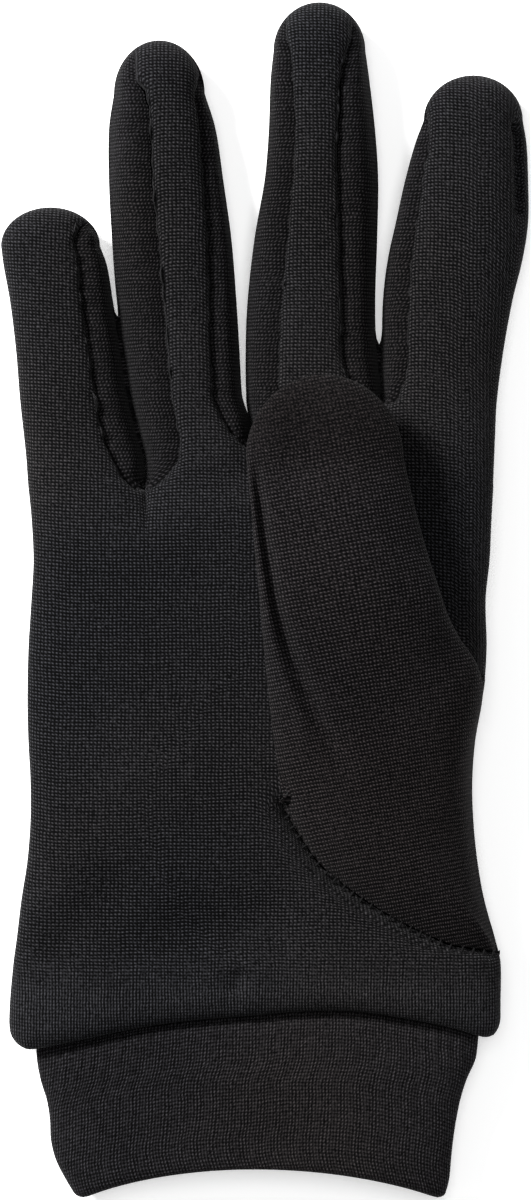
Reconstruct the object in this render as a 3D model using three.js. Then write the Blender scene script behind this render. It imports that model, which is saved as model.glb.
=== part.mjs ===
// Right-hand glove liner of stretch knit, lying palm up on a surface, fingers along +Y.
// Millimetres. The origin is the middle of the underside of the whole liner's box.

import * as THREE from 'three';

// Cloth
const knitWall = 1.4;
const cuffWall = 2.7;
const seamGap = 0.3;
const seamPinch = 0.5;

// Hand
const palmLength = 116.5;
const palmHeight = 17;
const palmMidShare = 0.45;
const crotchRound = 9;
const crotchFadeDown = 14;
const crotchFadeUp = 10;
const backSeamShare = 0.13;

// Hem and cuff
const hemRoll = 5;
const cuffShown = 30.4;
const cuffTuck = 7;
const cuffHeight = 14;
const cuffLift = 2.6;

// Thumb
const thumbWidth = 34.5;
const thumbLength = 61.2;
const thumbHeight = 13;
const thumbClearance = 0.6;

// Roundness of the sections: 2 is an ellipse, more is boxier
const palmPower = 5;
const fingerPower = 2.4;
const cuffPower = 3.2;
const thumbTopPower = 0.75;
const thumbUnderPower = 0.5;

// Flat part of the underside, as a share of the section's rise
const flatShare = 0.09;

// How far out on its way to the silhouette a fourchette's quarter line lies
const sideBulgeShare = 0.72;

// Tilt of a crotch's seam from straight down the hand
const crotchTilt = THREE.MathUtils.degToRad(41);

// Each finger in order from the little finger. at: height over the lowest crotch, in finger lengths.
// left, right: silhouette, in finger widths from the middle of its foot.
// seamLeft, seamRight: how far in from the silhouette the front seam lies, in finger widths.
const fingers = [
  {
    name: 'little',
    width: 21.4,
    length: 56.7,
    height: 12.6,
    rows: [
      { at: 0.0, left: -0.562, right: 0.562, seamLeft: 0, seamRight: 0.23 },
      { at: 0.1, left: -0.582, right: 0.534, seamLeft: 0, seamRight: 0.24 },
      { at: 0.3, left: -0.639, right: 0.399, seamLeft: 0, seamRight: 0.23 },
      { at: 0.48, left: -0.678, right: 0.322, seamLeft: 0, seamRight: 0.22 },
      { at: 0.66, left: -0.736, right: 0.255, seamLeft: 0, seamRight: 0.22 },
      { at: 0.79, left: -0.798, right: 0.197, seamLeft: 0, seamRight: 0.19 },
      { at: 0.86, left: -0.822, right: 0.13, seamLeft: 0, seamRight: 0 },
    ],
  },
  {
    name: 'ring',
    width: 24,
    length: 91,
    height: 14,
    rows: [
      { at: 0.0, left: -0.457, right: 0.457, seamLeft: 0.2, seamRight: 0.17 },
      { at: 0.06, left: -0.455, right: 0.45, seamLeft: 0.26, seamRight: 0.17 },
      { at: 0.19, left: -0.568, right: 0.38, seamLeft: 0.3, seamRight: 0.18 },
      { at: 0.3, left: -0.637, right: 0.355, seamLeft: 0.33, seamRight: 0.18 },
      { at: 0.41, left: -0.697, right: 0.329, seamLeft: 0.36, seamRight: 0.16 },
      { at: 0.55, left: -0.739, right: 0.286, seamLeft: 0.35, seamRight: 0.13 },
      { at: 0.68, left: -0.765, right: 0.218, seamLeft: 0.33, seamRight: 0.1 },
      { at: 0.8, left: -0.765, right: 0.15, seamLeft: 0.29, seamRight: 0.07 },
      { at: 0.88, left: -0.722, right: 0.056, seamLeft: 0, seamRight: 0 },
    ],
  },
  {
    name: 'middle',
    width: 23.6,
    length: 98.8,
    height: 14.4,
    rows: [
      { at: 0.0, left: -0.565, right: 0.565, seamLeft: 0.2, seamRight: 0.24 },
      { at: 0.09, left: -0.565, right: 0.565, seamLeft: 0.2, seamRight: 0.24 },
      { at: 0.17, left: -0.609, right: 0.548, seamLeft: 0.21, seamRight: 0.24 },
      { at: 0.28, left: -0.617, right: 0.522, seamLeft: 0.22, seamRight: 0.23 },
      { at: 0.38, left: -0.6, right: 0.513, seamLeft: 0.23, seamRight: 0.23 },
      { at: 0.51, left: -0.539, right: 0.53, seamLeft: 0.22, seamRight: 0.27 },
      { at: 0.63, left: -0.452, right: 0.539, seamLeft: 0.18, seamRight: 0.3 },
      { at: 0.73, left: -0.417, right: 0.513, seamLeft: 0.16, seamRight: 0.27 },
      { at: 0.84, left: -0.4, right: 0.461, seamLeft: 0.1, seamRight: 0.18 },
      { at: 0.9, left: -0.374, right: 0.426, seamLeft: 0, seamRight: 0 },
    ],
  },
  {
    name: 'index',
    width: 26.7,
    length: 83.8,
    height: 14,
    rows: [
      { at: 0.0, left: -0.427, right: 0.427, seamLeft: 0.13, seamRight: 0 },
      { at: 0.11, left: -0.427, right: 0.442, seamLeft: 0.13, seamRight: 0 },
      { at: 0.2, left: -0.435, right: 0.458, seamLeft: 0.13, seamRight: 0 },
      { at: 0.33, left: -0.427, right: 0.512, seamLeft: 0.13, seamRight: 0 },
      { at: 0.45, left: -0.419, right: 0.581, seamLeft: 0.13, seamRight: 0 },
      { at: 0.55, left: -0.381, right: 0.658, seamLeft: 0.11, seamRight: 0 },
      { at: 0.64, left: -0.319, right: 0.7, seamLeft: 0.09, seamRight: 0 },
      { at: 0.74, left: -0.25, right: 0.7, seamLeft: 0.07, seamRight: 0 },
      { at: 0.83, left: -0.173, right: 0.688, seamLeft: 0.05, seamRight: 0 },
      { at: 0.89, left: -0.104, right: 0.658, seamLeft: 0, seamRight: 0 },
    ],
  },
];

// The crotches between neighbours. shift: how far right of the line between the fingers' widths, in knuckle
// widths. rise: height above the lowest crotch, in palm lengths.
const webs = [
  { shift: 0.028, rise: 0 },
  { shift: 0.006, rise: 0.076 },
  { shift: 0.039, rise: 0.146 },
];

// The hand's sides below the lowest crotch, at shares of the palm length, in half knuckle widths.
const palmRows = [
  { at: 0.0, left: -1.0, right: 1.0 },
  { at: 0.065, left: -0.983, right: 0.991 },
  { at: 0.136, left: -0.974, right: 0.983 },
  { at: 0.206, left: -0.983, right: 0.966 },
  { at: 0.295, left: -0.996, right: 0.97 },
  { at: 0.383, left: -1.0, right: 0.953 },
  { at: 0.453, left: -0.996, right: 0.923 },
  { at: 0.524, left: -0.987, right: 0.91 },
  { at: 0.594, left: -0.987, right: 0.914 },
  { at: 0.665, left: -1.0, right: 0.931 },
  { at: 0.735, left: -1.026, right: 0.961 },
  { at: 0.806, left: -1.047, right: 1.009 },
  { at: 0.845, left: -1.06, right: 1.03 },
  { at: 0.929, left: -1.077, right: 1.03 },
  { at: 1.0, left: -1.077, right: 1.03 },
];

// The edge of the palm where the thumb is set in, from the thumb's crotch round to the side seam again.
const thumbHole = [
  { at: 0.346, x: 0.87 },
  { at: 0.369, x: 0.76 },
  { at: 0.409, x: 0.578 },
  { at: 0.462, x: 0.385 },
  { at: 0.52, x: 0.213 },
  { at: 0.568, x: 0.105 },
  { at: 0.594, x: 0.127 },
  { at: 0.624, x: 0.17 },
  { at: 0.674, x: 0.256 },
  { at: 0.718, x: 0.385 },
  { at: 0.753, x: 0.514 },
  { at: 0.788, x: 0.665 },
  { at: 0.815, x: 0.815 },
];
const thumbHoleTop = 0.339;
const thumbHoleBottom = 0.83;
const thumbHoleCorner = 0.568;

// Height of the hem's edge over its lowest corner, in palm lengths, across the half knuckle width.
const hemRows = [
  { at: -1.0, rise: 0.0 },
  { at: -0.76, rise: 0.021 },
  { at: -0.49, rise: 0.044 },
  { at: -0.27, rise: 0.056 },
  { at: -0.05, rise: 0.063 },
  { at: 0.18, rise: 0.071 },
  { at: 0.4, rise: 0.071 },
  { at: 0.62, rise: 0.058 },
  { at: 0.84, rise: 0.039 },
  { at: 1.0, rise: 0.016 },
];

// The cuff's sides, at shares of its shown length below the hem's corner, in half knuckle widths.
// low: underside, in cuff lifts. high: upper side, in cuff heights.
const cuffRows = [
  { at: -0.5, left: -0.965, right: 0.945, low: 1, high: 1 },
  { at: 0.034, left: -0.961, right: 0.927, low: 1, high: 1 },
  { at: 0.203, left: -0.944, right: 0.884, low: 0.62, high: 1 },
  { at: 0.338, left: -0.918, right: 0.858, low: 0.3, high: 0.98 },
  { at: 0.473, left: -0.905, right: 0.841, low: 0.08, high: 0.96 },
  { at: 0.608, left: -0.901, right: 0.828, low: 0, high: 0.94 },
  { at: 0.743, left: -0.88, right: 0.819, low: 0, high: 0.91 },
  { at: 0.878, left: -0.837, right: 0.811, low: 0, high: 0.88 },
  { at: 1.0, left: -0.79, right: 0.79, low: 0, high: 0.86 },
];
const cuffArchShare = 0.2;

// Rings of the thumb from its foot to the round of its tip, each by its two ends: x in thumb widths from the
// thumb's root, y in thumb lengths above the thumb's crotch. leftUp, rightUp: how far the ends have risen onto
// the palm. crown: how far the top stands over the ends, in half thumb heights.
const thumbRings = [
  { leftX: -0.53, leftY: -0.436, rightX: 0.649, rightY: 0.0, leftUp: 0, rightUp: 0, crown: 0 },
  { leftX: -0.565, leftY: -0.336, rightX: 0.64, rightY: -0.03, leftUp: 0.22, rightUp: 0.62, crown: 0.7 },
  { leftX: -0.601, leftY: -0.201, rightX: 0.59, rightY: 0.05, leftUp: 0.48, rightUp: 0.76, crown: 1 },
  { leftX: -0.631, leftY: -0.05, rightX: 0.5, rightY: 0.124, leftUp: 0.72, rightUp: 0.82, crown: 1.12 },
  { leftX: -0.661, leftY: 0.117, rightX: 0.43, rightY: 0.201, leftUp: 0.9, rightUp: 0.94, crown: 1.1 },
  { leftX: -0.685, leftY: 0.268, rightX: 0.375, rightY: 0.292, leftUp: 1, rightUp: 1, crown: 1.05 },
  { leftX: -0.714, leftY: 0.436, rightX: 0.298, rightY: 0.426, leftUp: 1, rightUp: 1, crown: 1 },
  { leftX: -0.738, leftY: 0.587, rightX: 0.226, rightY: 0.577, leftUp: 1, rightUp: 1, crown: 0.95 },
  { leftX: -0.762, leftY: 0.728, rightX: 0.167, rightY: 0.721, leftUp: 1, rightUp: 1, crown: 0.9 },
];
const thumbRootShare = 0.488;
const thumbTipRounds = [0.4, 0.72, 0.92];

// Soft valleys and swells of the palm. x in half knuckle widths, at in palm lengths below the lowest crotch,
// reach in half knuckle widths, depth in palm heights, negative for a swell.
const folds = [
  { x0: -0.48, at0: 0.01, x1: -0.07, at1: -0.01, reach: 0.09, depth: 0.1 },
  { x0: -0.86, at0: 0.82, x1: -0.65, at1: 0.72, reach: 0.12, depth: 0.06 },
  { x0: -0.56, at0: 0.81, x1: 0.04, at1: 0.77, reach: 0.14, depth: 0.06 },
  { x0: -0.5, at0: 0.56, x1: -0.44, at1: 0.52, reach: 0.3, depth: -0.05 },
  { x0: -0.12, at0: 0.98, x1: -0.1, at1: 0.9, reach: 0.05, depth: 0.05 },
];

const columns = 6;
const fingerRowCount = 7;
const webStepShares = [0.12, 0.5];
const palmShares = [
  0.06, 0.13, 0.2, 0.27, 0.339, 0.346, 0.369, 0.409, 0.462,
  0.52, 0.568, 0.624, 0.674, 0.725, 0.775, 0.815, 0.83, 0.88,
];
const hemSteps = [0, 0.12, 0.45, 1];

// How the rows of a finger crowd towards its tip, how late they bow into its round, how late its seams close
const rowCrowdPower = 0.9;
const tipBowPower = 3;
const tipClosePower = 8;

// Rings over which the thumb's foot turns from its seam into a round tube, and how fast
const thumbBlendRings = 5;
const thumbBlendPower = 1.5;

// The cuff's rows from its hidden edge to its fold, and how far through its wall the fold's own rows lie
const cuffColumns = 40;
const cuffSteps = [0, 0.2, 0.4, 0.6, 0.8, 0.96];
const cuffFoldShares = [0.3, 0.7];

const mix = (a, b, t) => a + (b - a) * t;
const clamp = (value) => Math.min(Math.max(value, 0), 1);

function smooth(value) {
  const t = clamp(value);
  return t * t * (3 - 2 * t);
}

// A smooth curve through one column of a table
function read(rows, column, at) {
  const last = rows.length - 1;
  if (at <= rows[0].at) return rows[0][column];
  if (at >= rows[last].at) return rows[last][column];
  const i = rows.findIndex((row) => row.at > at) - 1;
  const slope = (k) => {
    const before = rows[Math.max(k - 1, 0)];
    const after = rows[Math.min(k + 1, last)];
    return (after[column] - before[column]) / (after.at - before.at);
  };
  const span = rows[i + 1].at - rows[i].at;
  const t = (at - rows[i].at) / span;
  const rise = rows[i + 1][column] - rows[i][column];
  const start = slope(i) * span;
  const end = slope(i + 1) * span;
  return rows[i][column] + t * (start + t * (3 * rise - 2 * start - end + t * (start + end - 2 * rise)));
}

// 1 in the middle of a section, 0 at its edge
const crownOf = (share, power) => Math.max(0, 1 - Math.abs(share) ** power) ** (1 / power);

// 0 over the flat underside, 1 at the section's edge
const curlOf = (share, power) => Math.max(0, (1 - crownOf(share, power) - flatShare) / (1 - flatShare));

const knuckleWidth = fingers.reduce((sum, finger) => sum + finger.width, 0);
const knuckleHalf = knuckleWidth / 2;
const palmMid = palmHeight * palmMidShare;

// Where the bands of the four fingers start and end along the knuckles, as shares of the knuckle width
const bandEdges = [0];
fingers.forEach((finger, k) => {
  const plain = fingers.slice(0, k + 1).reduce((sum, each) => sum + each.width, 0) / knuckleWidth;
  bandEdges.push(k < webs.length ? plain + webs[k].shift : 1);
});
const edgeX = (edge) => mix(-knuckleHalf, knuckleHalf, bandEdges[edge]);
const footMid = fingers.map((finger, k) => (edgeX(k) + edgeX(k + 1)) / 2);
const crotchY = webs.map((web) => web.rise * palmLength);
const webTop = crotchY[webs.length - 1] + crotchRound;

// The silhouette of a finger at a height above the lowest crotch
function fingerSides(k, y) {
  const finger = fingers[k];
  const at = y / finger.length;
  const shape = {
    left: footMid[k] + finger.width * read(finger.rows, 'left', at),
    right: footMid[k] + finger.width * read(finger.rows, 'right', at),
  };
  const settle = (crotch) => smooth((y - crotch) / crotchRound);
  if (k > 0) shape.left = mix(edgeX(k) + seamGap, shape.left, settle(crotchY[k - 1]));
  if (k < webs.length) shape.right = mix(edgeX(k + 1) - seamGap, shape.right, settle(crotchY[k]));
  if (k > 0 && y <= crotchY[k - 1]) shape.left = edgeX(k);
  if (k < webs.length && y <= crotchY[k]) shape.right = edgeX(k + 1);
  return shape;
}

// Left and right sides of the whole hand at a height, negative in the palm
function handSides(y) {
  if (y >= 0) return { left: fingerSides(0, y).left, right: fingerSides(fingers.length - 1, y).right };
  const at = -y / palmLength;
  return { left: knuckleHalf * read(palmRows, 'left', at), right: knuckleHalf * read(palmRows, 'right', at) };
}

const cuffSide = (at, column) => knuckleHalf * read(cuffRows, column, at);
const cuffMid = (cuffHeight + cuffLift) / 2;
const hemOver = { left: cuffSide(0, 'left') - seamGap, right: cuffSide(0, 'right') + seamGap };
const hemLine = (x) => palmLength * (read(hemRows, 'rise', x / knuckleHalf) - 1);

// The hand's section at a height: its sides and the levels of its top, middle and underside. roll is 1 in the
// hand and falls to 0 at the hem, where the section closes on the cuff.
function handSection(y, roll) {
  const sides = handSides(y);
  return {
    left: mix(hemOver.left, sides.left, roll),
    right: mix(hemOver.right, sides.right, roll),
    top: mix(cuffHeight + seamGap, palmHeight, roll),
    mid: mix(cuffMid, palmMid, roll),
    low: mix(cuffLift - seamGap, 0, roll),
  };
}

const sectionShare = (section, x) => (2 * x - section.left - section.right) / (section.right - section.left);

function foldDepth(x, y) {
  let depth = 0;
  for (const fold of folds) {
    const a = new THREE.Vector2(fold.x0 * knuckleHalf, -fold.at0 * palmLength);
    const b = new THREE.Vector2(fold.x1 * knuckleHalf, -fold.at1 * palmLength);
    const along = b.clone().sub(a);
    const p = new THREE.Vector2(x, y);
    const t = clamp(p.clone().sub(a).dot(along) / along.lengthSq());
    const away = p.distanceTo(a.addScaledVector(along, t)) / (fold.reach * knuckleHalf);
    depth += fold.depth * palmHeight * Math.exp(-away * away);
  }
  return depth;
}

// Level of the hand's cloth over a place of the palm
function palmLevel(front, x, y, roll = 1) {
  const section = handSection(y, roll);
  const share = clamp(Math.abs(sectionShare(section, x)));
  if (!front) return section.low + (section.mid - section.low) * curlOf(share, palmPower);
  const crown = crownOf(share, palmPower);
  return section.mid + (section.top - section.mid - foldDepth(x, y) * roll) * crown;
}

// Level of a finger's cloth, with its round tip past the shoulder
function fingerLevel(front, k, x, y, sides, shoulder) {
  const finger = fingers[k];
  const half = (sides.right - sides.left) / 2;
  const across = (x - (sides.left + sides.right) / 2) / half;
  const along = Math.max(0, (y - shoulder.y) / shoulder.rise);
  const out = clamp(Math.hypot(across, along));
  const mid = finger.height * palmMidShare;
  if (!front) return mid * curlOf(out, fingerPower);
  return mid + (finger.height - mid) * crownOf(out, fingerPower);
}

// How far the section has turned from the palm's into the fingers', at one side of a finger
function fingerShare(k, side, y) {
  const web = side === 'left' ? k - 1 : k;
  const known = web < 0 ? 0 : Math.min(web, webs.length - 1);
  return smooth((y - crotchY[known] + crotchFadeDown) / (crotchFadeDown + crotchFadeUp));
}

const shoulders = fingers.map((finger) => {
  const at = finger.rows[finger.rows.length - 1].at;
  return { y: at * finger.length, rise: (1 - at) * finger.length };
});

// Rows of cloth shared by all the pieces of the hand, from the hem up. way: how far up its finger a row lies.
const rows = [];
for (const step of hemSteps) {
  rows.push({ y: -palmLength, at: 1, above: step * hemRoll, roll: Math.sqrt(1 - (1 - step) ** 2) });
}
for (const share of [...palmShares].reverse()) rows.push({ y: -share * palmLength, at: share, roll: 1 });
const crotchRow = [];
for (let k = 0; k < webs.length; k += 1) {
  crotchRow.push(rows.length);
  rows.push({ y: crotchY[k], roll: 1 });
  const next = k + 1 < webs.length ? crotchY[k + 1] : webTop;
  for (const share of webStepShares) rows.push({ y: mix(crotchY[k], next, share), roll: 1 });
}
const webTopRow = rows.length;
rows.push({ y: webTop, roll: 1 });
for (let k = 1; k <= fingerRowCount; k += 1) {
  rows.push({ y: webTop, roll: 1, way: Math.sin((Math.PI / 2) * (k / fingerRowCount) ** rowCrowdPower) });
}
const lastRow = rows.length - 1;

// Everything about one row of one finger's band
function bandRow(k, j) {
  const row = rows[j];
  const shoulder = shoulders[k];
  const way = row.way ?? 0;
  const y = mix(row.y, shoulder.y, way);
  const sides = fingerSides(k, Math.max(y, 0));
  return { row, y, way, sides, shoulder, at: y / fingers[k].length };
}

// The silhouette, front seam and back seam of a band on one side
function bandEdge(k, side, j, front) {
  const band = bandRow(k, j);
  const web = side === 'left' ? k - 1 : k;
  const out = side === 'left' ? -1 : 1;
  const open = web >= 0 && web < webs.length;
  if (open && j > crotchRow[web]) {
    const t = clamp((band.y - crotchY[web]) / crotchRound);
    const round = Math.sqrt(1 - (1 - t) ** 2);
    const column = side === 'left' ? 'seamLeft' : 'seamRight';
    const taper = Math.sqrt(1 - band.way ** tipClosePower);
    const inset = front ? read(fingers[k].rows, column, band.at) : backSeamShare * taper;
    return { x: band.sides[side] - out * inset * fingers[k].width * round, round, open: true };
  }
  if (band.y >= 0) return { x: band.sides[side], round: 0, open };
  return { x: palmLine(front, side === 'left' ? k : k + 1, j), round: 0, open: false };
}

// The line between two bands in the palm, which gives way to the thumb hole on the front
function palmLine(front, edge, j) {
  const row = rows[j];
  const section = handSection(row.y, row.roll);
  const right = front && inThumbHole(row) ? knuckleHalf * read(thumbHole, 'x', row.at) : section.right;
  return mix(section.left, right, bandEdges[edge]);
}

const inThumbHole = (row) => row.at > thumbHoleTop && row.at < thumbHoleBottom;

// Height of a row at a place: the palm's rows follow the hem's arch near the hem
function rowHeight(row, x) {
  if (row.above !== undefined) return hemLine(x) + row.above;
  const near = smooth((row.at - thumbHoleBottom) / (1 - thumbHoleBottom));
  return row.y + near * (hemLine(x) + palmLength);
}

// Columns of the palm's outer bands crowd towards the hand's sides
function palmSpread(k, u) {
  if (k === 0) return 1 - Math.cos((Math.PI / 2) * u);
  return k === fingers.length - 1 ? Math.sin((Math.PI / 2) * u) : u;
}

function skinPoint(front, k, u, j) {
  const band = bandRow(k, j);
  const left = bandEdge(k, 'left', j, front);
  const right = bandEdge(k, 'right', j, front);
  const turned = mix(fingerShare(k, 'left', band.y), fingerShare(k, 'right', band.y), u);
  const spread = mix(palmSpread(k, u), (1 - Math.cos(Math.PI * u)) / 2, turned);
  const x = mix(left.x, right.x, spread);
  const bow = band.way ** tipBowPower * band.shoulder.rise * 2 * Math.sqrt(spread * (1 - spread));
  const height = band.y < 0 ? rowHeight(band.row, x) : band.y + bow;
  return new THREE.Vector3(x, height, skinLevel(front, k, x, height, u, j));
}

function skinLevel(front, k, x, y, u, j) {
  const band = bandRow(k, j);
  const turned = mix(fingerShare(k, 'left', band.y), fingerShare(k, 'right', band.y), u);
  const flat = turned < 1 ? palmLevel(front, x, band.y, band.row.roll) : 0;
  const round = turned > 0 ? fingerLevel(front, k, x, y, band.sides, band.shoulder) : 0;
  return mix(flat, round, turned);
}

// The way into the glove from a seam: towards the finger's core, or down and back at a crotch
function seamInto(front, k, side, j, point) {
  const band = bandRow(k, j);
  const edge = bandEdge(k, side, j, front);
  const mid = fingers[k].height * palmMidShare;
  const coreX = (band.sides.left + band.sides.right) / 2;
  const core = new THREE.Vector3(coreX, Math.min(point.y, band.shoulder.y), mid);
  const inward = core.sub(point).normalize();
  const back = front ? -1 : 1;
  const crotch = new THREE.Vector3(0, -Math.cos(crotchTilt), back * Math.sin(crotchTilt));
  return crotch.lerp(inward, edge.open ? edge.round : 1).normalize();
}

// A sheet of cloth as its outer face: points, the way into the cloth where a seam sets it, and faces
class Sheet {
  constructor() {
    this.points = [];
    this.into = [];
    this.faces = [];
  }

  add(point, into = null) {
    this.points.push(point);
    this.into.push(into);
    return this.points.length - 1;
  }

  face(...corners) {
    const kept = corners.filter((corner, i) => corner !== corners[(i + 1) % corners.length]);
    if (kept.length > 2) this.faces.push(kept);
  }
}

function faceNormal(points, face) {
  const normal = new THREE.Vector3();
  for (let i = 0; i < face.length; i += 1) {
    const a = points[face[i]];
    const b = points[face[(i + 1) % face.length]];
    normal.add(new THREE.Vector3().crossVectors(a, b));
  }
  return normal.normalize();
}

// Gives a sheet its wall, draws each free edge back from its seam, and closes it
function thicken(sheet, wall) {
  const { points, faces } = sheet;
  const normals = points.map(() => new THREE.Vector3());
  const inward = points.map(() => new THREE.Vector3());
  const uses = new Map();
  for (const face of faces) {
    face.forEach((a, i) => {
      const b = face[(i + 1) % face.length];
      uses.set(`${a}_${b}`, face);
    });
  }
  const borders = [];
  for (const face of faces) {
    const normal = faceNormal(points, face);
    face.forEach((a, i) => {
      const b = face[(i + 1) % face.length];
      normals[a].add(normal);
      if (uses.has(`${b}_${a}`)) return;
      borders.push([a, b]);
      const along = points[b].clone().sub(points[a]).normalize();
      const away = new THREE.Vector3().crossVectors(normal, along);
      inward[a].add(away);
      inward[b].add(away);
    });
  }
  const outer = [];
  const inner = [];
  points.forEach((point, i) => {
    const drawn = point.clone();
    if (inward[i].lengthSq() > 0) drawn.addScaledVector(inward[i].normalize(), seamGap / 2);
    const into = sheet.into[i] ?? normals[i].clone().normalize().negate();
    outer.push(drawn);
    inner.push(drawn.clone().addScaledVector(into, wall));
  });
  const shift = points.length;
  const triangles = [];
  const fan = (face) => {
    for (let i = 1; i + 1 < face.length; i += 1) triangles.push(face[0], face[i], face[i + 1]);
  };
  for (const face of faces) {
    fan(face);
    const under = face.map((corner) => corner + shift);
    for (let i = 1; i + 1 < under.length; i += 1) triangles.push(under[0], under[i + 1], under[i]);
  }
  for (const [a, b] of borders) fan([b, a, a + shift, b + shift]);
  const geometry = new THREE.BufferGeometry().setFromPoints([...outer, ...inner]);
  geometry.setIndex(triangles);
  geometry.computeVertexNormals();
  return geometry;
}

// The front or the back of the hand: four bands that part at the crotches
function handGeometry(front) {
  const sheet = new Sheet();
  const ids = new Map();
  const idOf = (k, i, j) => {
    const shared = i === 0 && k > 0 && j <= crotchRow[k - 1];
    const key = shared ? `${k - 1}_${columns}_${j}` : `${k}_${i}_${j}`;
    if (!ids.has(key)) {
      const point = skinPoint(front, k, i / columns, j);
      const into = edgeInto(front, k, i, j, point);
      if (into && isSeam(k, i, j)) point.addScaledVector(into, seamPinch);
      ids.set(key, sheet.add(point, into));
    }
    return ids.get(key);
  };
  for (let k = 0; k < fingers.length; k += 1) {
    for (let j = 0; j < lastRow; j += 1) {
      for (let i = 0; i < columns; i += 1) {
        const corners = [idOf(k, i, j), idOf(k, i + 1, j), idOf(k, i + 1, j + 1), idOf(k, i, j + 1)];
        sheet.face(...(front ? corners : corners.reverse()));
      }
    }
  }
  return thicken(sheet, knitWall);
}

// Whether a point of the hand's sheet lies on a seam to a fourchette
function isSeam(k, i, j) {
  const left = i === 0 && k > 0 && j >= crotchRow[k - 1];
  const right = i === columns && k < webs.length && j >= crotchRow[k];
  return (left || right) && j < lastRow;
}

function edgeInto(front, k, i, j, point) {
  const row = rows[j];
  if (j === 0) return new THREE.Vector3(0, 1, 0);
  if (isSeam(k, i, j)) return seamInto(front, k, i === 0 ? 'left' : 'right', j, point);
  const outer = (i === 0 && k === 0) || (i === columns && k === fingers.length - 1);
  if (j === lastRow || (outer && row.y >= 0)) {
    const band = bandRow(k, j);
    const coreX = (band.sides.left + band.sides.right) / 2;
    return new THREE.Vector3(coreX, Math.min(point.y, band.y), point.z).sub(point).normalize();
  }
  if (!outer) return null;
  if (i === columns && front && inThumbHole(row)) return null;
  return new THREE.Vector3(i === 0 ? 1 : -1, 0, 0);
}

// A fourchette: from the tip of one finger down its side, round the crotch and up the side of the next
function fourchetteGeometry(web) {
  const stations = [];
  for (let j = lastRow - 1; j >= crotchRow[web]; j -= 1) stations.push({ k: web, side: 'right', j });
  for (let j = crotchRow[web] + 1; j < lastRow; j += 1) stations.push({ k: web + 1, side: 'left', j });
  const sheet = new Sheet();
  const lines = stations.map((station) => fourchetteLine(sheet, web, station));
  for (let s = 0; s + 1 < lines.length; s += 1) {
    for (let c = 0; c + 1 < lines[s].length; c += 1) {
      sheet.face(lines[s][c], lines[s + 1][c], lines[s + 1][c + 1], lines[s][c + 1]);
    }
  }
  return thicken(sheet, knitWall);
}

// One line of a fourchette across its width, from the front seam round the silhouette to the back seam
function fourchetteLine(sheet, web, { k, side, j }) {
  const band = bandRow(k, j);
  const frontEdge = bandEdge(k, side, j, true);
  const backEdge = bandEdge(k, side, j, false);
  const round = j === crotchRow[web] ? 0 : frontEdge.round;
  const u = side === 'left' ? 0 : 1;
  const seam = (front) => {
    const point = skinPoint(front, k, u, j);
    const into = seamInto(front, k, side, j, point);
    return { point: point.addScaledVector(into, seamPinch), into };
  };
  const onSkin = (front, x) => new THREE.Vector3(x, band.y, skinLevel(front, k, x, band.y, u, j));
  const outX = band.sides[side];
  const frontEnd = onSkin(true, outX);
  const backEnd = onSkin(false, outX);
  const middle = frontEnd.clone().lerp(backEnd, 0.5);
  const front = seam(true);
  const back = seam(false);
  const between = (start, edge, isFront) => {
    const bulged = onSkin(isFront, mix(edge.x, outX, sideBulgeShare));
    return start.clone().lerp(middle, 0.5).lerp(bulged, round);
  };
  const points = [front.point, between(front.point, frontEdge, true), middle];
  points.push(between(back.point, backEdge, false), back.point);
  return points.map((point, c) => sheet.add(point, c === 0 ? front.into : c === 4 ? back.into : null));
}

const thumbRoot = { x: thumbRootShare * knuckleHalf, y: -thumbHoleTop * palmLength };

// The seam that the thumb's foot follows, from the corner in the palm along the palm, up the side seam to the
// thumb's crotch, and back under the thumb
function thumbSeam() {
  const top = [];
  const under = [];
  rows.forEach((row, j) => {
    const side = handSides(row.y).right;
    const inner = palmLine(true, fingers.length, j);
    if (inThumbHole(row) && row.at >= thumbHoleCorner) top.unshift({ x: inner, y: row.y, edge: false });
    if (row.at >= thumbHoleTop && row.at <= thumbHoleBottom) top.push({ x: side, y: row.y, edge: true });
    if (inThumbHole(row) && row.at < thumbHoleCorner) under.unshift({ x: inner, y: row.y, edge: false });
  });
  return { top, under };
}

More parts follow.
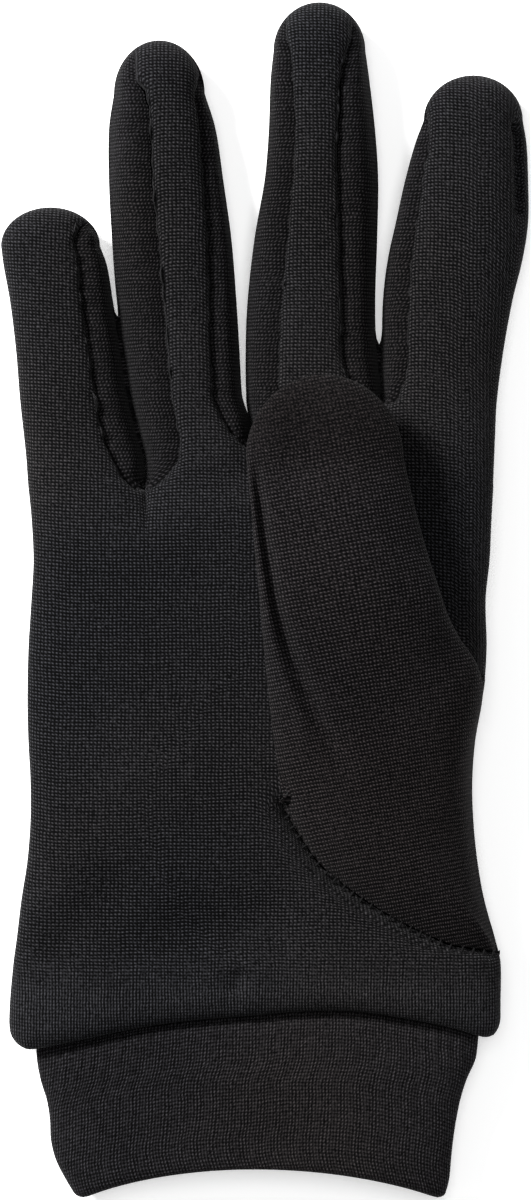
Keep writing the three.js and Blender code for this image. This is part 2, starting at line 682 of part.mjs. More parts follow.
function thumbGeometry() {
  const { top, under } = thumbSeam();
  const sheet = new Sheet();
  const over = palmHeight + thumbClearance + thumbHeight / 2;
  const station = (ring, q) => ({
    x: thumbRoot.x + thumbWidth * mix(ring.leftX, ring.rightX, q),
    y: thumbRoot.y + thumbLength * mix(ring.leftY, ring.rightY, q),
  });
  const seamLevel = (p) => (p.edge ? palmMid : palmLevel(true, p.x, p.y));
  const levels = thumbRings.map((ring) => ({
    left: mix(palmHeight, over, ring.leftUp),
    right: mix(palmMid, over, ring.rightUp),
  }));
  const lines = thumbRings.map((ring, r) => {
    const ids = [];
    const fade = clamp(1 - r / thumbBlendRings) ** thumbBlendPower;
    const topCount = top.length - 1;
    top.forEach((seam, n) => {
      const q = (1 - Math.cos((Math.PI * n) / topCount)) / 2;
      const plain = station(thumbRings[0], q);
      const here = station(ring, q);
      const x = here.x + fade * (seam.x - plain.x);
      const y = here.y + fade * (seam.y - plain.y);
      const crown = ring.crown * (thumbHeight / 2) * Math.sin((Math.PI * n) / topCount) ** thumbTopPower;
      const tube = mix(levels[r].left, levels[r].right, q);
      const free = mix(seamLevel(seam), tube, mix(ring.leftUp, ring.rightUp, q)) + crown;
      const z = r === 0 ? free : Math.max(free, palmLevel(true, x, y) + thumbClearance);
      const into = r === 0 && seam.edge ? new THREE.Vector3(-1, 0, 0) : null;
      ids.push(sheet.add(new THREE.Vector3(x, y, z), into));
    });
    under.forEach((seam, n) => {
      const q = 1 - (n + 1) / (under.length + 1);
      const plain = station(thumbRings[0], q);
      const here = station(ring, q);
      const x = here.x + fade * (seam.x - plain.x);
      const y = here.y + fade * (seam.y - plain.y);
      const sag = (thumbHeight / 2) * Math.sin(Math.PI * q) ** thumbUnderPower;
      const tube = mix(levels[r].left, levels[r].right, q) - sag;
      const z = Math.max(tube, palmLevel(true, x, y) + thumbClearance);
      ids.push(sheet.add(new THREE.Vector3(x, y, z)));
    });
    return ids;
  });
  const last = thumbRings[thumbRings.length - 1];
  const centre = station(last, 0.5);
  const rise = thumbLength - (centre.y - thumbRoot.y);
  const base = lines[lines.length - 1].map((id) => sheet.points[id]);
  for (const share of thumbTipRounds) {
    const scale = Math.sqrt(1 - share * share);
    lines.push(
      base.map((p) => {
        const x = mix(centre.x, p.x, scale);
        const y = mix(centre.y, p.y, scale) + share * rise;
        return sheet.add(new THREE.Vector3(x, y, mix(over, p.z, scale)));
      }),
    );
  }
  const pole = sheet.add(new THREE.Vector3(centre.x, centre.y + rise, over));
  for (let r = 0; r < lines.length; r += 1) {
    const ring = lines[r];
    ring.forEach((id, n) => {
      const m = (n + 1) % ring.length;
      if (r + 1 < lines.length) sheet.face(id, ring[m], lines[r + 1][m], lines[r + 1][n]);
      else sheet.face(id, ring[m], pole);
    });
  }
  return thicken(sheet, knitWall);
}

// The doubled cuff: a flattened tube whose lower edge is a fold
function cuffGeometry() {
  const profile = cuffSteps.map((step) => ({ step, inset: 0 }));
  for (const inset of cuffFoldShares) profile.push({ step: 1, inset });
  for (const step of [...cuffSteps].reverse()) profile.push({ step, inset: 1 });
  const points = [];
  for (const { step, inset } of profile) {
    for (let n = 0; n < cuffColumns; n += 1) {
      const angle = (2 * Math.PI * n) / cuffColumns;
      const power = 2 / cuffPower;
      const across = Math.sign(Math.cos(angle)) * Math.abs(Math.cos(angle)) ** power;
      const upward = Math.sign(Math.sin(angle)) * Math.abs(Math.sin(angle)) ** power;
      const upper = hemLine(cuffSide(0, 'right') * across) + cuffTuck;
      const lower = -palmLength - cuffShown * (1 - cuffArchShare * (1 - across * across));
      const y = mix(upper, lower, step);
      const at = (-palmLength - y) / cuffShown;
      const left = cuffSide(at, 'left') + inset * cuffWall;
      const right = cuffSide(at, 'right') - inset * cuffWall;
      const low = cuffLift * read(cuffRows, 'low', at) + inset * cuffWall;
      const high = cuffHeight * read(cuffRows, 'high', at) - inset * cuffWall;
      const x = (left + right) / 2 + (across * (right - left)) / 2;
      points.push(new THREE.Vector3(x, y, (low + high) / 2 + (upward * (high - low)) / 2));
    }
  }
  const triangles = [];
  for (let m = 0; m < profile.length; m += 1) {
    const next = (m + 1) % profile.length;
    for (let n = 0; n < cuffColumns; n += 1) {
      const side = (n + 1) % cuffColumns;
      const a = m * cuffColumns + n;
      const b = m * cuffColumns + side;
      const c = next * cuffColumns + side;
      const d = next * cuffColumns + n;
      triangles.push(a, b, c, a, c, d);
    }
  }
  const geometry = new THREE.BufferGeometry().setFromPoints(points);
  geometry.setIndex(triangles);
  geometry.computeVertexNormals();
  return geometry;
}

const knit = (name, color) => new THREE.MeshStandardMaterial({ name, color, roughness: 0.95, metalness: 0 });
const bodyKnit = knit('body_knit', 0x232427);
const sideKnit = knit('fourchette_knit', 0x1e1f22);
const thumbKnit = knit('thumb_knit', 0x26272a);
const cuffKnit = knit('cuff_knit', 0x202124);

const group = new THREE.Group();
const liner = new THREE.Group();
group.add(liner);

function addPiece(name, geometry, material) {
  const mesh = new THREE.Mesh(geometry, material);
  mesh.name = name;
  liner.add(mesh);
}

addPiece('palm_panel', handGeometry(true), bodyKnit);
addPiece('back_panel', handGeometry(false), bodyKnit);
webs.forEach((web, k) => {
  addPiece(`fourchette_${fingers[k].name}_${fingers[k + 1].name}`, fourchetteGeometry(k), sideKnit);
});
addPiece('thumb', thumbGeometry(), thumbKnit);
addPiece('cuff', cuffGeometry(), cuffKnit);

// The origin goes to the middle of the underside
const box = new THREE.Box3().setFromObject(liner);
const middle = box.getCenter(new THREE.Vector3());
liner.position.set(-middle.x, -middle.y, -box.min.z);
liner.updateMatrixWorld(true);

export default group;
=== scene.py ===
"""A knitted glove liner for the right hand, lying palm up.

Sizes are in millimetres until a piece is placed.
"""

import math
from functools import lru_cache

import bpy
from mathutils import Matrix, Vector, noise
from mathutils.kdtree import KDTree


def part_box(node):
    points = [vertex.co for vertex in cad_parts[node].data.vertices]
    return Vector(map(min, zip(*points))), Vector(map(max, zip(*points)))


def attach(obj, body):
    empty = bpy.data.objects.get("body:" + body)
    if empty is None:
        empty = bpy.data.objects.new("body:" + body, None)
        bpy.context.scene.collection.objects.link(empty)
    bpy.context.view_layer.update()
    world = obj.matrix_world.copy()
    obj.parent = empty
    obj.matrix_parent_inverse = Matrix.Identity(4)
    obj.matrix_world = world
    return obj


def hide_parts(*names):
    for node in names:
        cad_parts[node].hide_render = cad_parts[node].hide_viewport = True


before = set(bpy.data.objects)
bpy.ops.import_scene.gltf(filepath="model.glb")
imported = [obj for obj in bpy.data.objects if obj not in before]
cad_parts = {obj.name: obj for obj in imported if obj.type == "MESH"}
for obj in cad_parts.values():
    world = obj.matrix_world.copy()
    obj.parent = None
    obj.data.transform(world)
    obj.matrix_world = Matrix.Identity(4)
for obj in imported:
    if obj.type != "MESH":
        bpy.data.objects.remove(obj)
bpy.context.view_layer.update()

MM = 0.001
LEFT, RIGHT = 0, 1

# Cloth
KNIT_WALL = 1.4
CUFF_WALL = 2.7
SEAM_GAP = 0.16

# Hand
PALM_LENGTH = 116.5
PALM_HEIGHT = 17
PALM_MID_SHARE = 0.45
CROTCH_ROUND = 9
CROTCH_FADE_DOWN = 14
CROTCH_FADE_UP = 10
BACK_SEAM_SHARE = 0.13

# Hem and cuff
HEM_ROLL = 5
CUFF_SHOWN = 30.4
CUFF_TUCK = 7
CUFF_HEIGHT = 14
CUFF_LIFT = 2.6
CUFF_ARCH_SHARE = 0.2

# Thumb
THUMB_WIDTH = 34.5
THUMB_LENGTH = 61.2
THUMB_HEIGHT = 13
THUMB_CLEARANCE = 0.6
THUMB_ROOT_SHARE = 0.488
THUMB_BLEND_RINGS = 5

# Roundness of the sections
PALM_POWER = 5
FINGER_POWER = 2.4
CUFF_POWER = 3.2
FLAT_SHARE = 0.09

# Fingers from the little one. Rows: height in finger lengths, and the silhouette's left and right in finger
# widths from the middle of the foot. Seams: height, and how far in from the silhouette the left and right
# front seams lie.
FINGERS = (
    {
        "width": 21.4,
        "length": 56.7,
        "height": 12.6,
        "strip_top": 0.945,
        "seams": (
            (0.0, 0, 0.23),
            (0.1, 0, 0.24),
            (0.3, 0, 0.23),
            (0.48, 0, 0.22),
            (0.66, 0, 0.22),
            (0.79, 0, 0.2),
            (0.86, 0, 0.17),
            (0.913, 0, 0.12),
            (0.945, 0, 0),
        ),
        "rows": (
            (0.0, -0.562, 0.562),
            (0.1, -0.582, 0.534),
            (0.3, -0.639, 0.399),
            (0.48, -0.678, 0.322),
            (0.66, -0.736, 0.255),
            (0.79, -0.798, 0.197),
            (0.86, -0.822, 0.13),
        ),
    },
    {
        "width": 24,
        "length": 91,
        "height": 14,
        "strip_top": 0.975,
        "seams": (
            (0.0, 0.2, 0.17),
            (0.06, 0.26, 0.17),
            (0.19, 0.3, 0.18),
            (0.3, 0.33, 0.18),
            (0.41, 0.36, 0.16),
            (0.55, 0.35, 0.13),
            (0.68, 0.33, 0.1),
            (0.8, 0.31, 0.07),
            (0.85, 0.27, 0.05),
            (0.916, 0.13, 0),
            (0.955, 0.07, 0),
            (0.975, 0, 0),
        ),
        "rows": (
            (0.0, -0.457, 0.457),
            (0.06, -0.455, 0.45),
            (0.19, -0.568, 0.38),
            (0.3, -0.637, 0.355),
            (0.41, -0.697, 0.329),
            (0.55, -0.739, 0.286),
            (0.68, -0.765, 0.218),
            (0.8, -0.765, 0.15),
            (0.88, -0.722, 0.056),
        ),
    },
    {
        "width": 23.6,
        "length": 98.8,
        "height": 14.4,
        "strip_top": 0.972,
        "seams": (
            (0.0, 0.2, 0.24),
            (0.09, 0.2, 0.24),
            (0.17, 0.21, 0.24),
            (0.28, 0.22, 0.23),
            (0.38, 0.23, 0.23),
            (0.51, 0.22, 0.27),
            (0.63, 0.18, 0.3),
            (0.73, 0.16, 0.27),
            (0.84, 0.12, 0.19),
            (0.884, 0.09, 0.134),
            (0.925, 0.05, 0.077),
            (0.972, 0, 0),
        ),
        "rows": (
            (0.0, -0.565, 0.565),
            (0.09, -0.565, 0.565),
            (0.17, -0.609, 0.548),
            (0.28, -0.617, 0.522),
            (0.38, -0.6, 0.513),
            (0.51, -0.539, 0.53),
            (0.63, -0.452, 0.539),
            (0.73, -0.417, 0.513),
            (0.84, -0.4, 0.461),
            (0.9, -0.374, 0.426),
        ),
    },
    {
        "width": 26.7,
        "length": 83.8,
        "height": 14,
        "strip_top": 0.93,
        "seams": (
            (0.0, 0.13, 0),
            (0.45, 0.13, 0),
            (0.55, 0.11, 0),
            (0.64, 0.09, 0),
            (0.74, 0.07, 0),
            (0.83, 0.04, 0),
            (0.89, 0, 0),
            (0.93, 0, 0),
        ),
        "rows": (
            (0.0, -0.427, 0.427),
            (0.11, -0.427, 0.442),
            (0.2, -0.435, 0.458),
            (0.33, -0.427, 0.512),
            (0.45, -0.419, 0.581),
            (0.55, -0.381, 0.658),
            (0.64, -0.319, 0.7),
            (0.74, -0.25, 0.7),
            (0.83, -0.173, 0.688),
            (0.89, -0.104, 0.658),
        ),
    },
)

# Crotches: shift from the line between the fingers' widths in knuckle widths, height in palm lengths
WEBS = ((0.028, 0), (0.006, 0.076), (0.039, 0.146))

# The hand's sides below the crotches: share of the palm length, left and right in half knuckle widths
PALM_ROWS = (
    (0.0, -1.0, 1.0),
    (0.065, -0.983, 0.991),
    (0.136, -0.974, 0.983),
    (0.206, -0.983, 0.966),
    (0.295, -0.996, 0.97),
    (0.383, -1.0, 0.953),
    (0.453, -0.996, 0.923),
    (0.524, -0.987, 0.91),
    (0.594, -0.987, 0.914),
    (0.665, -1.0, 0.931),
    (0.735, -1.026, 0.961),
    (0.806, -1.047, 1.009),
    (0.845, -1.06, 1.03),
    (0.929, -1.077, 1.03),
    (1.0, -1.077, 1.03),
)

# Edge of the palm where the thumb is set in: share of the palm length, place in half knuckle widths
THUMB_HOLE = (
    (0.346, 0.87),
    (0.369, 0.76),
    (0.409, 0.578),
    (0.462, 0.385),
    (0.52, 0.213),
    (0.568, 0.105),
    (0.594, 0.127),
    (0.624, 0.17),
    (0.674, 0.256),
    (0.718, 0.385),
    (0.753, 0.514),
    (0.788, 0.665),
    (0.815, 0.815),
)
HOLE_TOP = 0.339
HOLE_BOTTOM = 0.83

# Where the thumb's seam is sewn to the palm on its way down, up the side and back under the thumb
SEAM_DOWN = (0.568, 0.624, 0.674, 0.725, 0.775, 0.815)
SEAM_UP = (0.83, 0.815, 0.775, 0.725, 0.674, 0.624, 0.568, 0.52, 0.462, 0.409, 0.369, 0.346, 0.339)
SEAM_UNDER = (0.346, 0.369, 0.409, 0.462, 0.52)

# Hem's edge: place in half knuckle widths, height over its lowest corner in palm lengths
HEM_ROWS = (
    (-1.0, 0.0),
    (-0.76, 0.021),
    (-0.49, 0.044),
    (-0.27, 0.056),
    (-0.05, 0.063),
    (0.18, 0.071),
    (0.4, 0.071),
    (0.62, 0.058),
    (0.84, 0.039),
    (1.0, 0.016),
)

# Cuff: share of its shown length below the hem's corner, left and right in half knuckle widths, underside in
# cuff lifts, upper side in cuff heights
CUFF_ROWS = (
    (-0.5, -0.965, 0.945, 1, 1),
    (0.034, -0.961, 0.927, 1, 1),
    (0.203, -0.944, 0.884, 0.62, 1),
    (0.338, -0.918, 0.858, 0.3, 0.98),
    (0.473, -0.905, 0.841, 0.08, 0.96),
    (0.608, -0.901, 0.828, 0, 0.94),
    (0.743, -0.88, 0.819, 0, 0.91),
    (0.878, -0.837, 0.811, 0, 0.88),
    (1.0, -0.79, 0.79, 0, 0.86),
)

# Rings of the thumb: number, left end x and y, right end x and y, rise of the left and right end, crown
THUMB_RINGS = (
    (0, -0.53, -0.436, 0.649, 0.0, 0, 0, 0),
    (1, -0.565, -0.336, 0.64, -0.03, 0.22, 0.62, 0.7),
    (2, -0.601, -0.201, 0.59, 0.05, 0.48, 0.76, 1),
    (3, -0.631, -0.05, 0.5, 0.124, 0.72, 0.82, 1.12),
    (4, -0.661, 0.117, 0.43, 0.201, 0.9, 0.94, 1.1),
    (5, -0.685, 0.268, 0.375, 0.292, 1, 1, 1.05),
    (6, -0.714, 0.436, 0.298, 0.426, 1, 1, 1),
    (7, -0.738, 0.587, 0.226, 0.577, 1, 1, 0.95),
    (8, -0.762, 0.728, 0.167, 0.721, 1, 1, 0.9),
)

# Soft valleys and swells of the palm: two ends, reach in half knuckle widths, depth in palm heights
FOLDS = (
    (-0.48, 0.01, -0.07, -0.01, 0.09, 0.1),
    (-0.86, 0.82, -0.65, 0.72, 0.12, 0.1),
    (-0.56, 0.81, 0.04, 0.77, 0.14, 0.1),
    (-0.5, 0.56, -0.44, 0.52, 0.3, -0.05),
    (-0.12, 0.98, -0.1, 0.9, 0.05, 0.05),
)

# How finely the cloth is laid
COLUMNS = 26
HEM_LINES = (0, 0.03, 0.08, 0.16, 0.28, 0.43, 0.6, 0.8, 1)
PALM_LINES = 132
WEB_LINES = 12
FINGER_LINES = 84

# Seams: how deep they pull the cloth in, and how far the pull reaches
SEAM_DEPTH = 1.9
SEAM_REACH = 1.1
EDGE_GAP = 0.2
HOLE_GAP = 0.85


def mix(a, b, t):
    return a + (b - a) * t


def clamp(value):
    return min(max(value, 0.0), 1.0)


def smooth(value):
    t = clamp(value)
    return t * t * (3 - 2 * t)


def read(rows, column, at):
    """A smooth curve through one column of a table."""
    last = len(rows) - 1
    if at <= rows[0][0]:
        return rows[0][column]
    if at >= rows[last][0]:
        return rows[last][column]
    i = 0
    while rows[i + 1][0] <= at:
        i += 1

    def slope(k):
        before = rows[max(k - 1, 0)]
        after = rows[min(k + 1, last)]
        return (after[column] - before[column]) / (after[0] - before[0])

    span = rows[i + 1][0] - rows[i][0]
    t = (at - rows[i][0]) / span
    rise = rows[i + 1][column] - rows[i][column]
    start = slope(i) * span
    end = slope(i + 1) * span
    return rows[i][column] + t * (start + t * (3 * rise - 2 * start - end + t * (start + end - 2 * rise)))


def crown_of(share, power):
    return max(0.0, 1 - abs(share) ** power) ** (1 / power)


def curl_of(share, power):
    return max(0.0, (1 - crown_of(share, power) - FLAT_SHARE) / (1 - FLAT_SHARE))


KNUCKLE_WIDTH = sum(finger["width"] for finger in FINGERS)
KNUCKLE_HALF = KNUCKLE_WIDTH / 2
PALM_MID = PALM_HEIGHT * PALM_MID_SHARE
LAST_FINGER = len(FINGERS) - 1
CROTCH_Y = tuple(rise * PALM_LENGTH for shift, rise in WEBS)
WEB_TOP = CROTCH_Y[-1] + CROTCH_ROUND


def band_shares():
    """Where the bands of the four fingers start and end along the knuckles."""
    shares = [0.0]
    for k in range(len(FINGERS)):
        plain = sum(finger["width"] for finger in FINGERS[: k + 1]) / KNUCKLE_WIDTH
        shares.append(plain + WEBS[k][0] if k < len(WEBS) else 1.0)
    return shares


BAND_SHARES = band_shares()


def edge_x(edge):
    return mix(-KNUCKLE_HALF, KNUCKLE_HALF, BAND_SHARES[edge])


FOOT_MID = tuple((edge_x(k) + edge_x(k + 1)) / 2 for k in range(len(FINGERS)))


def shoulder_of(k):
    """Where a finger's sides end and its round tip starts, and how far the tip rises over that."""
    finger = FINGERS[k]
    shoulder = finger["rows"][-1][0] * finger["length"]
    return shoulder, finger["length"] - shoulder


def parted(foot, gap, own, crotch, y):
    """A finger's side: shared up to the crotch, then over to the finger's own silhouette."""
    if y <= crotch:
        return foot
    return mix(foot + gap, own, smooth((y - crotch) / CROTCH_ROUND))


def finger_sides(k, y):
    """The silhouette of a finger at a height above the lowest crotch."""
    finger = FINGERS[k]
    shoulder, rise = shoulder_of(k)
    if y > shoulder:
        left, right = finger_sides(k, shoulder)
        narrow = math.sqrt(max(0.0, 1 - ((y - shoulder) / rise) ** 2))
        return (left + right - (right - left) * narrow) / 2, (left + right + (right - left) * narrow) / 2
    at = y / finger["length"]
    left = FOOT_MID[k] + finger["width"] * read(finger["rows"], 1, at)
    right = FOOT_MID[k] + finger["width"] * read(finger["rows"], 2, at)
    if k > 0:
        left = parted(edge_x(k), SEAM_GAP, left, CROTCH_Y[k - 1], y)
    if k < LAST_FINGER:
        right = parted(edge_x(k + 1), -SEAM_GAP, right, CROTCH_Y[k], y)
    return left, right


def hand_sides(y):
    if y >= 0:
        return finger_sides(0, y)[LEFT], finger_sides(LAST_FINGER, y)[RIGHT]
    at = -y / PALM_LENGTH
    return KNUCKLE_HALF * read(PALM_ROWS, 1, at), KNUCKLE_HALF * read(PALM_ROWS, 2, at)


def cuff_side(at, column):
    return KNUCKLE_HALF * read(CUFF_ROWS, column, at)


def hem_line(x):
    return PALM_LENGTH * (read(HEM_ROWS, 1, x / KNUCKLE_HALF) - 1)


@lru_cache(maxsize=None)
def hand_section(y, roll):
    """Sides and levels of the hand at a height: left, right, top, middle, underside."""
    left, right = hand_sides(y)
    return (
        mix(cuff_side(0, 1) - SEAM_GAP, left, roll),
        mix(cuff_side(0, 2) + SEAM_GAP, right, roll),
        mix(CUFF_HEIGHT + SEAM_GAP, PALM_HEIGHT, roll),
        mix((CUFF_HEIGHT + CUFF_LIFT) / 2, PALM_MID, roll),
        mix(CUFF_LIFT - SEAM_GAP, 0, roll),
    )


def fold_depth(x, y):
    depth = 0.0
    for x0, at0, x1, at1, reach, share in FOLDS:
        ax, ay = x0 * KNUCKLE_HALF, -at0 * PALM_LENGTH
        bx, by = x1 * KNUCKLE_HALF - ax, -at1 * PALM_LENGTH - ay
        t = clamp(((x - ax) * bx + (y - ay) * by) / (bx * bx + by * by))
        away = math.hypot(x - ax - bx * t, y - ay - by * t) / (reach * KNUCKLE_HALF)
        depth += share * PALM_HEIGHT * math.exp(-away * away)
    return depth


def palm_level(front, x, y, roll=1.0):
    left, right, top, mid, low = hand_section(y, roll)
    share = clamp(abs((2 * x - left - right) / (right - left)))
    if not front:
        return low + (mid - low) * curl_of(share, PALM_POWER)
    return mid + (top - mid - fold_depth(x, y) * roll) * crown_of(share, PALM_POWER)


class Row:
    """One line of cloth across the hand: its height, and how far up its finger it lies."""

    def __init__(self, y, roll=1.0, above=None, way=0.0):
        self.y = y
        self.at = -y / PALM_LENGTH
        self.roll = roll
        self.above = above
        self.way = way

    def in_hole(self):
        return HOLE_TOP + 1e-6 < self.at < HOLE_BOTTOM - 1e-6


HEM_START = 1 - HEM_ROLL / PALM_LENGTH


def make_rows():
    rows = [Row(-PALM_LENGTH, math.sqrt(1 - (1 - step) ** 2), step * HEM_ROLL) for step in HEM_LINES]
    ends = (HOLE_TOP, THUMB_HOLE[0][0], THUMB_HOLE[-1][0], HOLE_BOTTOM)
    places = [HEM_START * (1 - n / PALM_LINES) for n in range(1, PALM_LINES)]
    places = [at for at in places if min(abs(at - end) for end in ends) > 0.0035] + list(ends)
    rows.extend(Row(-PALM_LENGTH * at) for at in sorted(places, reverse=True))
    crotches = []
    for k, y in enumerate(CROTCH_Y):
        crotches.append(len(rows))
        rows.append(Row(y))
        above = CROTCH_Y[k + 1] if k + 1 < len(CROTCH_Y) else WEB_TOP
        rows.extend(Row(mix(y, above, (n / WEB_LINES) ** 1.6)) for n in range(1, WEB_LINES))
    rows.append(Row(WEB_TOP))
    for n in range(1, FINGER_LINES + 1):
        rows.append(Row(WEB_TOP, way=math.sin(math.pi / 2 * (n / FINGER_LINES) ** 0.9)))
    return rows, crotches


ROWS, CROTCH_ROW = make_rows()
LAST_ROW = len(ROWS) - 1


@lru_cache(maxsize=None)
def band_row(k, j):
    """One row of one finger's band: its height and its sides."""
    y = mix(ROWS[j].y, FINGERS[k]["strip_top"] * FINGERS[k]["length"], ROWS[j].way)
    return y, finger_sides(k, max(y, 0))


def finger_level(front, k, x, y, j):
    shoulder, rise = shoulder_of(k)
    row_y = band_row(k, j)[0]
    if row_y < 0:
        left, right = palm_line(front, k, j), palm_line(front, k + 1, j)
    else:
        left, right = finger_sides(k, min(row_y, shoulder))
    across = (2 * x - left - right) / (right - left)
    out = clamp(math.hypot(across, max(0.0, (y - shoulder) / rise)))
    height = FINGERS[k]["height"]
    mid = height * PALM_MID_SHARE
    if not front:
        return mid * curl_of(out, FINGER_POWER)
    return mid + (height - mid) * crown_of(out, FINGER_POWER)


def web_of(k, side):
    """The crotch beside a band, or None at the hand's own sides."""
    web = k - 1 if side == LEFT else k
    return web if 0 <= web < len(WEBS) else None


@lru_cache(maxsize=None)
def finger_share(k, side, y):
    """How far the section has turned from the palm's into the finger's."""
    web = k - 1 if side == LEFT else k
    known = min(max(web, 0), len(WEBS) - 1)
    return smooth((y - CROTCH_Y[known] + CROTCH_FADE_DOWN) / (CROTCH_FADE_DOWN + CROTCH_FADE_UP))


def hole_x(at):
    """The palm's edge where the thumb is set in."""
    first, last = THUMB_HOLE[0], THUMB_HOLE[-1]
    if at < first[0]:
        side = hand_sides(-HOLE_TOP * PALM_LENGTH)[RIGHT]
        return mix(side, KNUCKLE_HALF * first[1], (at - HOLE_TOP) / (first[0] - HOLE_TOP))
    if at > last[0]:
        side = hand_sides(-HOLE_BOTTOM * PALM_LENGTH)[RIGHT]
        return mix(KNUCKLE_HALF * last[1], side, (at - last[0]) / (HOLE_BOTTOM - last[0]))
    return KNUCKLE_HALF * read(THUMB_HOLE, 1, at)


@lru_cache(maxsize=None)
def palm_line(front, edge, j):
    row = ROWS[j]
    section = hand_section(row.y, row.roll)
    right = hole_x(row.at) if front and row.in_hole() else section[1]
    return mix(section[0], right, BAND_SHARES[edge])


@lru_cache(maxsize=None)
def band_edge(k, side, j, front):
    """Place of a band's edge, and how far it has turned from the crotch into the finger's side."""
    y, sides = band_row(k, j)
    web = web_of(k, side)
    if web is not None and j > CROTCH_ROW[web]:
        t = clamp((y - CROTCH_Y[web]) / CROTCH_ROUND)
        turned = math.sqrt(1 - (1 - t) ** 2)
        inset = BACK_SEAM_SHARE * math.sqrt(max(0.0, 1 - ROWS[j].way ** 8))
        if front:
            inset = read(FINGERS[k]["seams"], 1 + side, y / FINGERS[k]["length"])
        out = -1 if side == LEFT else 1
        return sides[side] - out * inset * FINGERS[k]["width"] * turned, turned
    if y >= 0:
        return sides[side], 0.0
    return palm_line(front, k + side, j), 0.0


def row_height(row, x):
    if row.above is not None:
        return hem_line(x) + row.above
    near = clamp((row.at - HOLE_BOTTOM) / (HEM_START - HOLE_BOTTOM))
    return row.y + near * (hem_line(x) + PALM_LENGTH)


def skin_level(front, k, x, y, u, j):
    row_y = band_row(k, j)[0]
    turned = mix(finger_share(k, LEFT, row_y), finger_share(k, RIGHT, row_y), u)
    flat = palm_level(front, x, row_y, ROWS[j].roll) if turned < 1 else 0.0
    rounded = finger_level(front, k, x, y, j) if turned > 0 else 0.0
    return mix(flat, rounded, turned)


def tip_line(k, x):
    """Height of a finger's round tip at a place across it."""
    shoulder, rise = shoulder_of(k)
    left, right = finger_sides(k, shoulder)
    across = (2 * x - left - right) / (right - left)
    return shoulder + rise * math.sqrt(max(0.0, 1 - across * across))


def skin_point(front, k, u, j):
    row_y = band_row(k, j)[0]
    turned = mix(finger_share(k, LEFT, row_y), finger_share(k, RIGHT, row_y), u)
    plain = u
    if k == 0:
        plain = 1 - math.cos(math.pi / 2 * u)
    elif k == LAST_FINGER:
        plain = math.sin(math.pi / 2 * u)
    spread = mix(plain, (1 - math.cos(math.pi * u)) / 2, turned)
    x = mix(band_edge(k, LEFT, j, front)[0], band_edge(k, RIGHT, j, front)[0], spread)
    if row_y < 0:
        y = row_height(ROWS[j], x)
    else:
        top = FINGERS[k]["strip_top"] * FINGERS[k]["length"]
        y = row_y + ROWS[j].way ** 3 * max(0.0, tip_line(k, x) - top)
    return Vector((x, y, skin_level(front, k, x, y, u, j)))


CROTCH_TILT = math.radians(41)


def tip_fade(j):
    """1 along a finger, falling to 0 where its seams run out at the tip."""
    return 1 - ROWS[j].way ** 16


def seam_pull(front, k, side, j, point):
    """The way a seam draws the cloth in: down the hand at a crotch, towards the core along a finger."""
    left, right = band_row(k, j)[1]
    mid = FINGERS[k]["height"] * PALM_MID_SHARE
    core = Vector(((left + right) / 2, min(point.y, shoulder_of(k)[0]), mid))
    inward = (core - point).normalized()
    back = -1 if front else 1
    crotch = Vector((0, -math.cos(CROTCH_TILT), back * math.sin(CROTCH_TILT)))
    return crotch.lerp(inward, band_edge(k, side, j, front)[1]).normalized()


# Seam lines, as the points that the cloth is pulled towards


def finger_stations(web):
    stations = [(web, RIGHT, j) for j in range(LAST_ROW - 1, CROTCH_ROW[web] - 1, -1)]
    stations += [(web + 1, LEFT, j) for j in range(CROTCH_ROW[web] + 1, LAST_ROW)]
    return stations


def finger_seam(web, front):
    return [skin_point(front, k, float(side == RIGHT), j) for k, side, j in finger_stations(web)]


def along_list(values, place):
    i = min(int(place), len(values) - 2)
    return mix(values[i], values[i + 1], place - i)


def hole_top_point(share):
    """The thumb's seam from the corner in the palm, down round the hole and up the hand's side."""
    place = share * (len(SEAM_DOWN) + len(SEAM_UP) - 1)
    turn = len(SEAM_DOWN) - 1
    if place <= turn:
        at = along_list(SEAM_DOWN, place)
        return hole_x(at), -at * PALM_LENGTH
    if place >= turn + 1:
        at = along_list(SEAM_UP, place - turn - 1)
        y = -at * PALM_LENGTH
        return hand_sides(y)[RIGHT], y
    at = mix(SEAM_DOWN[-1], SEAM_UP[0], place - turn)
    return hole_x(at), -at * PALM_LENGTH


def hole_seam(steps=220):
    points = []
    for n in range(steps + 1):
        x, y = hole_top_point(n / steps * 6 / 18)
        points.append(Vector((x, y, palm_level(True, x, y))))
    return points


def tree_of(lines):
    points = [p for line in lines for p in line]
    tree = KDTree(len(points))
    for n, p in enumerate(points):
        tree.insert(p, n)
    tree.balance()
    return tree


FRONT_SEAMS = [finger_seam(web, True) for web in range(len(WEBS))]
BACK_SEAMS = [finger_seam(web, False) for web in range(len(WEBS))]
THUMB_SEAM = hole_seam()
FRONT_TREE = tree_of(FRONT_SEAMS)
BACK_TREE = tree_of(BACK_SEAMS)
HOLE_TREE = tree_of([THUMB_SEAM])


# The open bit of the index finger's side seam: its ends, its level, and how far in from the outline it lies
OUTSEAM_ENDS = (56, 73)
OUTSEAM_LEVEL = 11.3
OUTSEAM_INSET = 1.5
OUTSEAM_POINTS = 40
OUTSEAM_DEPTH = 2.4
OUTSEAM_REACH = 0.8


def outseam():
    """The open bit of the index finger's side seam, near its tip."""
    points = []
    for n in range(OUTSEAM_POINTS):
        y = mix(*OUTSEAM_ENDS, n / (OUTSEAM_POINTS - 1))
        x = finger_sides(LAST_FINGER, y)[RIGHT] - OUTSEAM_INSET
        points.append(Vector((x, y, OUTSEAM_LEVEL)))
    return points


OUTSEAM_TREE = tree_of([outseam()])


def pucker(point, size, seed):
    """A smooth value from -1 to 1 that changes over the given size."""
    return noise.noise(Vector((point.x / size, point.y / size, point.z / size + seed)))


